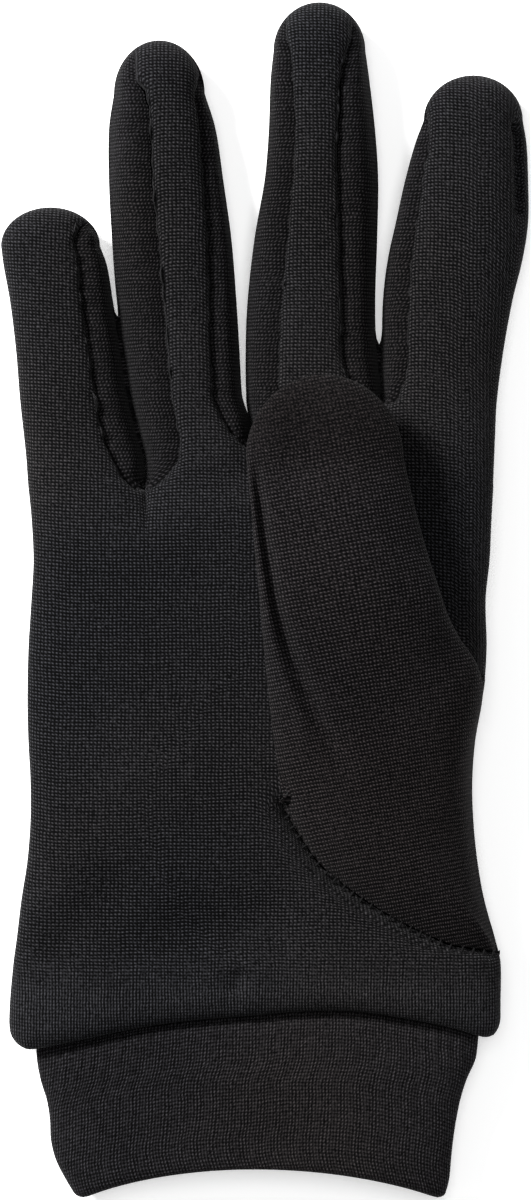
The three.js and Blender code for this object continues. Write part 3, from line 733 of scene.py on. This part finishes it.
def pull_share(distance, reach):
    return math.exp(-((distance / reach) ** 1.3))


def pull_in(tree, point, way, depth, reach, rough=0.55):
    """Moves a point in where it is near a seam, unevenly, as thread draws stretch knit."""
    distance = tree.find(point)[2]
    share = pull_share(distance, reach) + 0.22 * pull_share(distance, reach * 3.5)
    uneven = 1 + rough * pucker(point, 2.2, 3.0)
    return point + way * (depth * share * uneven)


# Pieces


def place_shift():
    """From the hand's own zero, between the little and ring fingers, to the frame's."""
    left = min(hand_sides(FINGERS[0]["length"] * n / 200)[LEFT] for n in range(201))
    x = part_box("palm_panel")[0].x / MM - left
    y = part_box("cuff")[0].y / MM + PALM_LENGTH + CUFF_SHOWN
    return Vector((x, y, 0))


SHIFT = place_shift()


def laid_grid(name, columns, rows, points, knit):
    """A grid of cloth with each vertex moved to its place; knit holds each vertex's place in the fabric."""
    bpy.ops.object.select_all(action="DESELECT")
    bpy.ops.mesh.primitive_grid_add(x_subdivisions=columns, y_subdivisions=rows, size=1)
    piece = bpy.context.object
    piece.name = name
    mesh = piece.data
    mesh.vertices.foreach_set("co", [c for p in points for c in (p + SHIFT) * MM])
    layer = mesh.uv_layers[0]
    layer.name = "knit"
    for loop in mesh.loops:
        layer.data[loop.index].uv = knit[loop.vertex_index]
    mesh.update()
    return piece


def joined(name, pieces):
    bpy.ops.object.select_all(action="DESELECT")
    for piece in pieces:
        piece.select_set(True)
    bpy.context.view_layer.objects.active = pieces[0]
    if len(pieces) > 1:
        bpy.ops.object.join()
    piece = bpy.context.object
    piece.name = name
    piece.data.name = name
    return piece


def merge_and_flip(piece, flip=False, distance=1e-6):
    bpy.context.view_layer.objects.active = piece
    bpy.ops.object.mode_set(mode="EDIT")
    bpy.ops.mesh.select_all(action="SELECT")
    bpy.ops.mesh.remove_doubles(threshold=distance)
    if flip:
        bpy.ops.mesh.flip_normals()
    bpy.ops.object.mode_set(mode="OBJECT")


def apply_modifier(piece, kind, **settings):
    bpy.context.view_layer.objects.active = piece
    modifier = piece.modifiers.new(kind.lower(), kind)
    for key, value in settings.items():
        setattr(modifier, key, value)
    bpy.ops.object.modifier_apply(modifier=modifier.name)


def finish_cloth(piece, wall, node, material):
    """Gives a sheet its wall, soft edges and finish, and puts it in the place of its solid."""
    if wall:
        apply_modifier(piece, "SOLIDIFY", thickness=wall * MM, offset=-1, use_rim=True)
    bpy.ops.object.select_all(action="DESELECT")
    piece.select_set(True)
    bpy.context.view_layer.objects.active = piece
    bpy.ops.object.shade_smooth_by_angle(angle=math.radians(60))
    piece.data.materials.clear()
    piece.data.materials.append(material)
    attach(piece, "root")
    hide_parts(node)
    return piece


def run_length(line, middle):
    """Signed length of cloth across a row from its middle, not counting the way along the hand."""
    places = [0.0] * len(line)
    for n in range(middle + 1, len(line)):
        step = line[n] - line[n - 1]
        places[n] = places[n - 1] + math.hypot(step.x, step.z)
    for n in range(middle - 1, -1, -1):
        step = line[n] - line[n + 1]
        places[n] = places[n + 1] - math.hypot(step.x, step.z)
    return places


def tucked(piece):
    """Keeps the cloth at the thumb's crotch within the hand's side."""
    for vertex in piece.data.vertices:
        place = vertex.co / MM - SHIFT
        if abs(place.y + HOLE_TOP * PALM_LENGTH) < 5:
            side = hand_sides(place.y)[RIGHT]
            if place.x > side:
                vertex.co.x = (side + SHIFT.x) * MM
    return piece


def hand_piece(front, name, node, material):
    """The front or the back of the hand: four bands that part at the crotches."""
    tree = FRONT_TREE if front else BACK_TREE
    bands = []
    for k in range(len(FINGERS)):
        lines = []
        for j in range(LAST_ROW + 1):
            line = []
            for i in range(COLUMNS + 1):
                u = i / COLUMNS
                point = skin_point(front, k, u, j)
                side = LEFT if u < 0.5 else RIGHT
                web = web_of(k, side)
                near = tree.find(point)[2]
                if near < SEAM_REACH * 8 and j < LAST_ROW:
                    near_side = side if web is not None else 1 - side
                    way = seam_pull(front, k, near_side, j, point)
                    point = pull_in(tree, point, way, SEAM_DEPTH * tip_fade(j), SEAM_REACH)
                if front and HOLE_TREE.find(point)[2] < SEAM_REACH * 8:
                    point = pull_in(HOLE_TREE, point, Vector((0, 0, -1)), SEAM_DEPTH * 1.1, SEAM_REACH * 1.2)
                if front and k == LAST_FINGER:
                    way = Vector((-0.5, 0, -0.87))
                    point = pull_in(OUTSEAM_TREE, point, way, OUTSEAM_DEPTH, OUTSEAM_REACH)
                if i in (0, COLUMNS) and web is not None and CROTCH_ROW[web] < j < LAST_ROW:
                    point.x += (1 if side == LEFT else -1) * EDGE_GAP * tip_fade(j)
                point.z += 0.16 * pucker(point, 14, 1.0) * smooth(point.z / 4)
                line.append(point)
            lines.append(line)
        middle = COLUMNS // 2
        knit = []
        heights = [point.y for point in lines[0]]
        for j, line in enumerate(lines):
            if j:
                for i, point in enumerate(line):
                    step = point - lines[j - 1][i]
                    heights[i] += math.hypot(step.y, step.z)
            across = run_length(line, middle)
            knit += [(line[middle].x + across[i], heights[i]) for i in range(COLUMNS + 1)]
        points = [point for line in lines for point in line]
        bands.append(laid_grid(f"{name}_{k}", COLUMNS, LAST_ROW, points, knit))
    piece = joined(name, bands)
    merge_and_flip(piece, flip=not front)
    return tucked(finish_cloth(piece, KNIT_WALL, node, material))


SIDE_COLUMNS = 16

# Height above the lowest crotch up to which neighbouring fingers touch
TOUCH_TOPS = (37, 19, 32)
TOUCH_SQUEEZE = 0.12

# Ends of the strips: how near the strip's top they count, and how far over the outline they are brought back
STRIP_END_REACH = 2
STRIP_END_MOST = 1.5


def touch_reach(web, y):
    """How far each of two strips swells to meet the other, low between two fingers."""
    gap = finger_sides(web + 1, y)[LEFT] - finger_sides(web, y)[RIGHT]
    if y <= CROTCH_Y[web]:
        return 0.0
    return max(0.0, gap / 2 + TOUCH_SQUEEZE) * smooth((TOUCH_TOPS[web] - y) / 7)


def side_strip_line(web, k, side, j):
    """A line across a side strip, from the front seam round the silhouette to the back seam."""
    u = float(side == RIGHT)
    row_y, sides = band_row(k, j)
    ends = {}
    for front in (True, False):
        x, turned = band_edge(k, side, j, front)
        ends[front] = (x, 0.0 if j == CROTCH_ROW[web] else turned, skin_point(front, k, u, j))
    out_x = sides[side]
    out_x += (1 if side == RIGHT else -1) * touch_reach(web, row_y)
    upper = skin_level(True, k, sides[side], row_y, u, j)
    lower = skin_level(False, k, sides[side], row_y, u, j)
    level = (upper + lower) / 2
    level -= 2.4 * smooth((TOUCH_TOPS[web] + 6 - row_y) / 12) * band_edge(k, side, j, True)[1]
    middle = Vector((out_x, row_y, level))
    line = []
    for n in range(SIDE_COLUMNS + 1):
        t = n / SIDE_COLUMNS
        front = t <= 0.5
        x, turned, start = ends[front]
        share = 2 * t if front else 2 * (1 - t)
        straight = start.lerp(middle, share)
        spread = math.sin(math.pi / 2 * share)
        skin_x = mix(x, sides[side], spread)
        round_point = Vector((skin_x, row_y, skin_level(front, k, skin_x, row_y, u, j)))
        round_point.x += (out_x - sides[side]) * spread ** 3
        round_point.z = mix(round_point.z, level, spread ** 6)
        point = straight.lerp(round_point, turned)
        tree = FRONT_TREE if front else BACK_TREE
        way = seam_pull(front, k, side, j, point)
        depth = SEAM_DEPTH * tip_fade(j) * (1 - share ** 3)
        line.append(pull_in(tree, point, way, depth, SEAM_REACH))
    return line


def trimmed(piece, web):
    """Keeps the ends of a side strip within the outlines of its two fingertips."""
    for vertex in piece.data.vertices:
        place = vertex.co / MM - SHIFT
        for k, side in ((web, RIGHT), (web + 1, LEFT)):
            if abs(place.y - FINGERS[k]["strip_top"] * FINGERS[k]["length"]) > STRIP_END_REACH:
                continue
            edge = finger_sides(k, place.y)[side]
            out = (place.x - edge) * (1 if side == RIGHT else -1)
            if 0 < out < STRIP_END_MOST:
                vertex.co.x = (edge + SHIFT.x) * MM
    return piece


def side_strip(web, node, material):
    """A strip from the tip of one finger down its side, round the crotch and up the side of the next."""
    lines = [side_strip_line(web, *station) for station in finger_stations(web)]
    knit = []
    height = 0.0
    middle = SIDE_COLUMNS // 2
    for s, line in enumerate(lines):
        if s:
            height += (line[middle] - lines[s - 1][middle]).length
        across = [0.0]
        for n in range(1, len(line)):
            across.append(across[-1] + (line[n] - line[n - 1]).length)
        knit += [(place, height) for place in across]
    points = [point for line in lines for point in line]
    piece = laid_grid(node + "_knit", SIDE_COLUMNS, len(lines) - 1, points, knit)
    merge_and_flip(piece, flip=True, distance=1e-7)
    return trimmed(finish_cloth(piece, KNIT_WALL, node, material), web)


# Thumb

THUMB_ROOT = Vector((THUMB_ROOT_SHARE * KNUCKLE_HALF, -HOLE_TOP * PALM_LENGTH, 0))
THUMB_TOP_COLUMNS = 64
THUMB_UNDER_COLUMNS = 24
THUMB_LINES = 90
THUMB_TIP_LINES = 26
THUMB_OVER = PALM_HEIGHT + THUMB_CLEARANCE + THUMB_HEIGHT / 2
EASE_PASSES = 60

# How much the knit is drawn together down the thumb's sides, and the half width over which that starts
THUMB_KNIT_SQUEEZE = 0.65
THUMB_KNIT_HALF = THUMB_WIDTH * 0.4

# Groove along the thumb: ring, place across the thumb, share of the full depth
GROOVE_DEPTH = 2.8
GROOVE_ROWS = (
    (2.2, 0.14, 0),
    (3, 0.13, 0.7),
    (4, 0.1, 1),
    (5, 0.085, 1),
    (6, 0.07, 1),
    (7, 0.062, 0.9),
    (7.6, 0.058, 0.5),
    (8, 0.055, 0),
)


def thumb_station(ring, q):
    left = Vector((read(THUMB_RINGS, 1, ring) * THUMB_WIDTH, read(THUMB_RINGS, 2, ring) * THUMB_LENGTH, 0))
    right = Vector((read(THUMB_RINGS, 3, ring) * THUMB_WIDTH, read(THUMB_RINGS, 4, ring) * THUMB_LENGTH, 0))
    return THUMB_ROOT + left.lerp(right, q)


def thumb_ring(ring):
    """One ring of the thumb, over the top from the left end to the right and back underneath."""
    left_up = read(THUMB_RINGS, 5, ring)
    right_up = read(THUMB_RINGS, 6, ring)
    crown = read(THUMB_RINGS, 7, ring) * THUMB_HEIGHT / 2
    fade = clamp(1 - ring / THUMB_BLEND_RINGS) ** 1.5
    left_level = mix(PALM_HEIGHT, THUMB_OVER, left_up)
    right_level = mix(PALM_MID, THUMB_OVER, right_up)
    points = []
    for n in range(THUMB_TOP_COLUMNS + 1):
        share = n / THUMB_TOP_COLUMNS
        q = (1 - math.cos(math.pi * share)) / 2
        seam_x, seam_y = hole_top_point(share)
        plain = thumb_station(0, q)
        here = thumb_station(ring, q)
        x = here.x + fade * (seam_x - plain.x)
        y = here.y + fade * (seam_y - plain.y)
        tube = mix(left_level, right_level, q)
        free = mix(palm_level(True, seam_x, seam_y), tube, mix(left_up, right_up, q))
        free += crown * math.sin(math.pi * share) ** 0.75
        z = free if ring == 0 else max(free, palm_level(True, x, y) + THUMB_CLEARANCE * min(ring, 1))
        points.append(Vector((x, y, z)))
    for n in range(1, THUMB_UNDER_COLUMNS + 1):
        share = n / (THUMB_UNDER_COLUMNS + 1)
        q = 1 - share
        at = along_list((HOLE_TOP,) + SEAM_UNDER + (SEAM_DOWN[0],), share * (len(SEAM_UNDER) + 1))
        plain = thumb_station(0, q)
        here = thumb_station(ring, q)
        x = here.x + fade * (hole_x(at) - plain.x)
        y = here.y + fade * (-at * PALM_LENGTH - plain.y)
        sag = THUMB_HEIGHT / 2 * math.sqrt(math.sin(math.pi * q))
        lowest = palm_level(True, x, y) + THUMB_CLEARANCE * min(ring, 1)
        z = max(mix(left_level, right_level, q) - sag, lowest)
        points.append(Vector((x, y, z)))
    return points


def eased(lines, passes):
    """Evens out the levels of the thumb's top, so that its foot swells without a crease."""
    levels = [[point.z for point in line] for line in lines]
    for _ in range(passes):
        before = [list(row) for row in levels]
        for m in range(1, len(lines) - 1):
            for n in range(1, THUMB_TOP_COLUMNS):
                beside = before[m][n - 1] + before[m][n + 1]
                levels[m][n] = before[m][n] / 2 + (before[m - 1][n] + before[m + 1][n] + beside) / 8
    for line, row in zip(lines, levels):
        for point, level in zip(line, row):
            point.z = level


def thumb_piece(material):
    """The set-in thumb: rings from its seam in the palm to the round of its tip, folded over the palm."""
    last_ring = THUMB_RINGS[-1][0]
    lines = [thumb_ring(last_ring * (m / THUMB_LINES)) for m in range(THUMB_LINES + 1)]
    eased(lines, EASE_PASSES)
    for n, toward in enumerate(thumb_ring(0.3)):
        width = HOLE_GAP * (0.75 + 0.45 * pucker(lines[0][n], 1.3, 11.0))
        lines[0][n] += (toward - lines[0][n]).normalized() * width
    levels = [[point.z for point in line] for line in lines]
    for m, line in enumerate(lines):
        ring = last_ring * (m / THUMB_LINES)
        groove = read(GROOVE_ROWS, 1, ring)
        depth = 0.0 if ring < GROOVE_ROWS[0][0] else read(GROOVE_ROWS, 2, ring)
        for n in range(THUMB_TOP_COLUMNS + 1):
            share = n / THUMB_TOP_COLUMNS
            q = (1 - math.cos(math.pi * share)) / 2
            away = (q - groove) * THUMB_WIDTH / 1.1
            line[n].z -= GROOVE_DEPTH * depth * math.exp(-away * away)
            ridge = away + 1.7
            line[n].z += 0.7 * depth * math.exp(-ridge * ridge)
            dent = math.hypot((line[n].x - 9) / 9, (line[n].y - 5) / 4.5)
            line[n].z -= 1.3 * math.exp(-dent * dent)
            line[n] = pull_in(HOLE_TREE, line[n], Vector((0, 0, -1)), SEAM_DEPTH * 1.1, SEAM_REACH * 1.2)
    centre = thumb_station(last_ring, 0.5)
    rise = THUMB_LENGTH - (centre.y - THUMB_ROOT.y)
    base = lines[-1]
    for m in range(1, THUMB_TIP_LINES + 1):
        share = math.sin(math.pi / 2 * m / THUMB_TIP_LINES)
        scale = math.sqrt(max(0.0, 1 - share * share))
        tip = Vector((centre.x, centre.y + share * rise, THUMB_OVER))
        flat = [Vector((p.x, p.y - centre.y + tip.y, p.z)) for p in base]
        lines.append([Vector([mix(tip[c], p[c], scale) for c in range(3)]) for p in flat])
    levels += [[point.z for point in line] for line in lines[len(levels):]]
    for line in lines:
        for n, point in enumerate(line):
            line[n] = point + Vector((0, 0, 0.22 * pucker(point, 11, 5.0)))
    axis = (thumb_station(last_ring, 0.5) - thumb_station(3, 0.5)).normalized()
    across = Vector((axis.y, -axis.x, 0))
    centre_line = thumb_station(6, 0.5).dot(across)
    crest = THUMB_OVER + THUMB_HEIGHT / 2
    knit = []
    for line, row in zip(lines, levels):
        line.append(line[0].copy())
        for point, level in zip(line, row + row[:1]):
            place = point.dot(across)
            side = max(-1.0, min(1.0, (place - centre_line) / THUMB_KNIT_HALF))
            knit.append((place + side * (crest - level) * THUMB_KNIT_SQUEEZE, point.dot(axis)))
    points = [point for line in lines for point in line]
    columns = THUMB_TOP_COLUMNS + THUMB_UNDER_COLUMNS + 1
    piece = laid_grid("thumb_knit", columns, len(lines) - 1, points, knit)
    merge_and_flip(piece)
    return tucked(finish_cloth(piece, KNIT_WALL, "thumb", material))


# Thread stitches along the thumb's seam: pitch, half sizes, and how far down and aside of the seam they lie
STITCH_PITCH = 2.3
STITCH_HALF = Vector((0.26, 0.82, 0.3))
STITCH_DROP = 1.7
STITCH_ASIDE = 0.2


def seam_stitches(material):
    """The thread that holds the thumb in: short dark stitches across its seam, half sunk in the cloth."""
    stitches = []
    run = 0.0
    for last, here in zip(THUMB_SEAM, THUMB_SEAM[1:]):
        before = run
        run += (here - last).length
        if int(run / STITCH_PITCH) == int(before / STITCH_PITCH):
            continue
        along = (here - last).normalized()
        across = along.cross(Vector((0, 0, 1))).normalized()
        place = here + across * STITCH_ASIDE - Vector((0, 0, STITCH_DROP))
        turn = math.atan2(across.y, across.x) - math.pi / 2 + 0.3 * pucker(here, 1.7, 13.0)
        bpy.ops.object.select_all(action="DESELECT")
        bpy.ops.mesh.primitive_uv_sphere_add(segments=12, ring_count=8, location=(place + SHIFT) * MM)
        stitch = bpy.context.object
        stitch.rotation_euler = (0, 0, turn)
        stitch.scale = STITCH_HALF * MM
        bpy.ops.object.transform_apply(location=True, rotation=True, scale=True)
        stitches.append(stitch)
    piece = joined("thumb_stitches", stitches)
    bpy.ops.object.shade_smooth_by_angle(angle=math.radians(60))
    piece.data.materials.clear()
    piece.data.materials.append(material)
    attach(piece, "root")


# Cuff

CUFF_COLUMNS = 240
CUFF_LINES = 34
CUFF_FOLD_LINES = 6
FOLD_ROUND = 0.9


def cuff_piece(material):
    """The doubled cuff: a flattened tube whose lower edge is a fold."""
    steps = [n / CUFF_LINES for n in range(CUFF_LINES + 1)]
    profile = [(step, 0.0) for step in steps]
    profile += [(1.0, (1 - math.cos(math.pi * n / CUFF_FOLD_LINES)) / 2) for n in range(1, CUFF_FOLD_LINES)]
    profile += [(step, 1.0) for step in reversed(steps)]
    lines = []
    for step, inset in profile:
        line = []
        for n in range(CUFF_COLUMNS + 1):
            angle = 2 * math.pi * (n % CUFF_COLUMNS) / CUFF_COLUMNS
            power = 2 / CUFF_POWER
            across = math.copysign(abs(math.cos(angle)) ** power, math.cos(angle))
            upward = math.copysign(abs(math.sin(angle)) ** power, math.sin(angle))
            upper = hem_line(cuff_side(0, 2) * across) + CUFF_TUCK
            lower = FOLD_ROUND - PALM_LENGTH - CUFF_SHOWN * (1 - CUFF_ARCH_SHARE * (1 - across * across))
            bulge = FOLD_ROUND * math.sqrt(inset * (1 - inset)) * 2
            y = mix(upper, lower, step) - bulge
            at = (-PALM_LENGTH - y) / CUFF_SHOWN
            left = cuff_side(at, 1) + inset * CUFF_WALL
            right = cuff_side(at, 2) - inset * CUFF_WALL
            low = CUFF_LIFT * read(CUFF_ROWS, 3, at) + inset * CUFF_WALL
            high = CUFF_HEIGHT * read(CUFF_ROWS, 4, at) - inset * CUFF_WALL
            point = Vector(((left + right) / 2 + across * (right - left) / 2, y, 0))
            point.z = (low + high) / 2 + upward * (high - low) / 2
            under_hem = smooth(1 - (hem_line(point.x) - y) / 2.6)
            point.z -= 1.7 * under_hem * smooth(upward) * (1 - inset)
            gather = 0.2 * (1 - smooth((step - 0.25) / 0.5)) * (1 - inset)
            ripple = math.sin(point.x * 2.3 + 2.5 * pucker(point, 9, 7.0))
            point.z += gather * ripple * upward * smooth(point.z / 3)
            point.z += 0.25 * (1 - inset) * upward * pucker(point, 16, 9.0) * smooth(point.z / 4)
            line.append(point)
        lines.append(line)
    lines.append([point.copy() for point in lines[0]])
    knit = []
    heights = [0.0] * (CUFF_COLUMNS + 1)
    for s, line in enumerate(lines):
        if s:
            for n in range(CUFF_COLUMNS + 1):
                heights[n] -= (line[n] - lines[s - 1][n]).length
        places = run_length(line, CUFF_COLUMNS // 4)
        knit += [(line[CUFF_COLUMNS // 4].x + places[n], heights[n]) for n in range(CUFF_COLUMNS + 1)]
    points = [point for line in lines for point in line]
    piece = laid_grid("cuff_knit", CUFF_COLUMNS, len(lines) - 1, points, knit)
    merge_and_flip(piece, flip=True)
    return finish_cloth(piece, 0, "cuff", material)


# Materials


class Value:
    """A socket in a node tree, with the sums that the finishes use."""

    def __init__(self, finish, socket):
        self.finish = finish
        self.socket = socket

    def sum(self, operation, *values):
        return self.finish.node("ShaderNodeMath", {"operation": operation}, *values)

    def __add__(self, other):
        return self.sum("ADD", self, other)

    __radd__ = __add__

    def __sub__(self, other):
        return self.sum("SUBTRACT", self, other)

    def __rsub__(self, other):
        return self.sum("SUBTRACT", other, self)

    def __mul__(self, other):
        return self.sum("MULTIPLY", self, other)

    __rmul__ = __mul__

    def __truediv__(self, other):
        return self.sum("DIVIDE", self, other)

    def __pow__(self, other):
        return self.sum("POWER", self, other)

    def cosine(self):
        return self.sum("COSINE", self)

    def floor(self):
        return self.sum("FLOOR", self)

    def fraction(self):
        return self.sum("FRACT", self)

    def above_zero(self):
        return self.sum("MAXIMUM", self, 0.0)

    def limited(self):
        return self.sum("MAXIMUM", self.sum("MINIMUM", self, 1.0), 0.0)


class Finish:
    """A material being made."""

    def __init__(self, name):
        self.material = bpy.data.materials.new(name)
        self.material.use_nodes = True
        self.tree = self.material.node_tree
        self.tree.nodes.clear()

    def node(self, kind, settings=None, *values, out=0, **named):
        made = self.tree.nodes.new(kind)
        for key, value in (settings or {}).items():
            setattr(made, key, value)
        for key, value in list(enumerate(values)) + list(named.items()):
            socket = made.inputs[key if isinstance(key, int) else key.replace("_", " ")]
            if isinstance(value, Value):
                self.tree.links.new(value.socket, socket)
            else:
                socket.default_value = value
        return Value(self, made.outputs[out]) if len(made.outputs) else None

    def mixed(self, share, first, second):
        """A colour between two."""
        made = self.tree.nodes.new("ShaderNodeMix")
        made.data_type = "RGBA"
        for socket, value in ((made.inputs[0], share), (made.inputs[6], first), (made.inputs[7], second)):
            if isinstance(value, Value):
                self.tree.links.new(value.socket, socket)
            else:
                socket.default_value = value
        return Value(self, made.outputs[2])


TURN = 2 * math.pi


def knit_finish(name, dark, light, wale, course, strength, ribbed=0.0, hem=False, tip=False):
    """Fine stretch knit: slanting stitches in wales and courses, with their own tones, fuzz and lint; with
    tip set, painted shade darkens it towards the thumb's tip.
    """
    finish = Finish(name)
    place = finish.node("ShaderNodeUVMap", {"uv_map": "knit"})
    parts = finish.tree.nodes.new("ShaderNodeSeparateXYZ")
    finish.tree.links.new(place.socket, parts.inputs[0])
    u = Value(finish, parts.outputs[0])
    v = Value(finish, parts.outputs[1])
    body = finish.node("ShaderNodeTexCoord", {}, out=3)
    wander = finish.node("ShaderNodeTexNoise", {}, Vector=body, Scale=420.0, Detail=2.0) - 0.5
    drift = finish.node("ShaderNodeTexNoise", {}, Vector=body, Scale=70.0, Detail=1.0) - 0.5
    across = u / wale + wander * 0.55 + drift * 0.9
    along = v / course + drift * 0.8 + wander * 0.5
    slant = along.fraction() - 0.5
    column = across + slant * 0.42
    wave = (TURN * column).cosine() * 0.5 + 0.5
    rib = (TURN * (along - 0.5)).cosine() * 0.5 + 0.5
    dashes = (wave * 0.82 + 0.18) * rib
    wales = (TURN * (across * 1.25)).cosine() * 0.5 + 0.5
    ribs = wales * (rib * 0.3 + 0.7)
    share = ((-94.0 - v) / 9.0).limited() * 0.75 if hem else ribbed
    stitch = (dashes + (ribs - dashes) * share) ** 1.9
    cell = finish.node("ShaderNodeCombineXYZ", {}, (column + 0.5).floor(), along.floor(), 0.0)
    own = finish.node("ShaderNodeTexWhiteNoise", {"noise_dimensions": "3D"}, Vector=cell)
    fuzz = finish.node("ShaderNodeTexNoise", {}, Vector=body, Scale=2300.0, Detail=3.0)
    broad = finish.node("ShaderNodeTexNoise", {}, Vector=body, Scale=26.0, Detail=3.0)
    lint = ((own - 0.9988) * 2000.0).limited() * stitch
    tone = stitch * (0.84 + own * 0.6)
    # Painted shade: with tip set, the colour darkens towards the thumb's tip, standing in for the shade on
    # the tip's curve.
    if tip:
        tone = tone * (1.0 - ((v + 4.0) / 14.0).limited() * 0.55)
    shade = (tone + (fuzz - 0.5) * 0.9 + (broad - 0.5) * 0.25 + lint * 1.5).above_zero()
    patches = finish.node("ShaderNodeTexNoise", {}, Vector=body, Scale=17.0, Detail=1.5)
    warmth = ((patches - 0.5) * 3.5 + 0.5).limited()
    cool = tuple(value * gain for value, gain in zip(light, (0.95, 0.99, 1.06))) + (1,)
    warm = tuple(value * gain for value, gain in zip(light, (1.02, 0.98, 0.95))) + (1,)
    colour = finish.mixed(shade, dark + (1,), finish.mixed(warmth, cool, warm))
    height = stitch * 0.8 + own * 0.15 + fuzz * 0.45
    bump = finish.node("ShaderNodeBump", {}, Strength=strength, Distance=0.0003, Height=height)
    shader = finish.node(
        "ShaderNodeBsdfPrincipled",
        {},
        Base_Color=colour,
        Roughness=0.95,
        Normal=bump,
        Sheen_Weight=0.02,
        Sheen_Roughness=0.4,
        Specular_IOR_Level=0.04,
    )
    finish.node("ShaderNodeOutputMaterial", {}, shader)
    return finish.material


def thread_finish():
    """Black sewing thread: a twisted strand with a faint sheen."""
    finish = Finish("seam thread")
    body = finish.node("ShaderNodeTexCoord", {}, out=3)
    strands = finish.node("ShaderNodeTexNoise", {}, Vector=body, Scale=4000.0, Detail=2.0)
    colour = finish.mixed(strands, (0.0006, 0.0006, 0.0006, 1), (0.004, 0.0038, 0.004, 1))
    bump = finish.node("ShaderNodeBump", {}, Strength=0.5, Distance=0.0001, Height=strands)
    shader = finish.node(
        "ShaderNodeBsdfPrincipled",
        {},
        Base_Color=colour,
        Roughness=0.8,
        Normal=bump,
        Specular_IOR_Level=0.1,
    )
    finish.node("ShaderNodeOutputMaterial", {}, shader)
    return finish.material


def table_finish():
    """The pale, softly backlit table that the liner lies on."""
    finish = Finish("light table")
    shader = finish.node(
        "ShaderNodeBsdfPrincipled",
        {},
        Base_Color=(0.93, 0.93, 0.93, 1),
        Roughness=0.9,
        Emission_Color=(1, 1, 1, 1),
        Emission_Strength=0.4,
    )
    finish.node("ShaderNodeOutputMaterial", {}, shader)
    return finish.material


body_knit = knit_finish(
    "body knit", (0.0009, 0.0009, 0.001), (0.0345, 0.0335, 0.0355), 0.8, 0.72, 0.8, hem=True
)
# Painted shade: the side strips use the body's knit in a darker colour, for the shade down between the
# fingers.
shaded_side_knit = knit_finish(
    "side strip knit with painted shade", (0.0007, 0.0007, 0.0008), (0.0255, 0.0238, 0.025), 0.8, 0.74, 0.8
)
# The thumb's knit has painted shade darkening it towards its tip (tip=True).
thumb_knit = knit_finish(
    "thumb knit", (0.0007, 0.0006, 0.0007), (0.0333, 0.0293, 0.0304), 0.86, 0.78, 0.9, tip=True
)
cuff_knit = knit_finish(
    "cuff knit", (0.0009, 0.0008, 0.0009), (0.033, 0.0305, 0.0318), 0.82, 0.74, 0.9, ribbed=0.6
)

hand_piece(True, "palm_knit", "palm_panel", body_knit)
hand_piece(False, "back_knit", "back_panel", body_knit)
STRIPS = ("fourchette_little_ring", "fourchette_ring_middle", "fourchette_middle_index")
for web, node in enumerate(STRIPS):
    side_strip(web, node, shaded_side_knit)
thumb_piece(thumb_knit)
seam_stitches(thread_finish())
cuff_piece(cuff_knit)


# Floor, lights and camera


def make_floor():
    bpy.ops.object.select_all(action="DESELECT")
    bpy.ops.mesh.primitive_plane_add(size=40, location=(0, 0, -0.0002))
    floor = bpy.context.object
    floor.name = "floor"
    floor.data.materials.append(table_finish())


def add_light(name, place, aim, size, power):
    data = bpy.data.lights.new(name, "AREA")
    data.energy = power
    data.shape = "DISK"
    data.size = size
    light = bpy.data.objects.new(name, data)
    light.location = place
    light.rotation_euler = (Vector(aim) - Vector(place)).to_track_quat("-Z", "Y").to_euler()
    bpy.context.scene.collection.objects.link(light)


def make_camera():
    """Straight above, as far off as a long lens stands, framed as the picture is."""
    distance = 1.5
    picture_height = 0.2465
    level = 0.008
    data = bpy.data.cameras.new("camera")
    data.sensor_width = 36
    data.lens = data.sensor_width * distance / picture_height
    data.clip_start = 0.01
    camera = bpy.data.objects.new("camera", data)
    camera.location = (0.0002, 0.0, level + distance)
    camera.rotation_euler = (0, 0, 0)
    bpy.context.scene.collection.objects.link(camera)
    bpy.context.scene.camera = camera


def make_world():
    world = bpy.data.worlds.new("world")
    world.use_nodes = True
    background = world.node_tree.nodes["Background"]
    background.inputs["Color"].default_value = (1, 1, 1, 1)
    background.inputs["Strength"].default_value = 0.22
    bpy.context.scene.world = world


make_floor()
make_world()
add_light("key", (-0.75, 0.6, 0.7), (0, 0, 0), 0.4, 42)
add_light("overhead", (0.1, 0.1, 1.4), (0, 0, 0), 0.9, 10)
make_camera()
bpy.context.scene.view_settings.view_transform = "Standard"
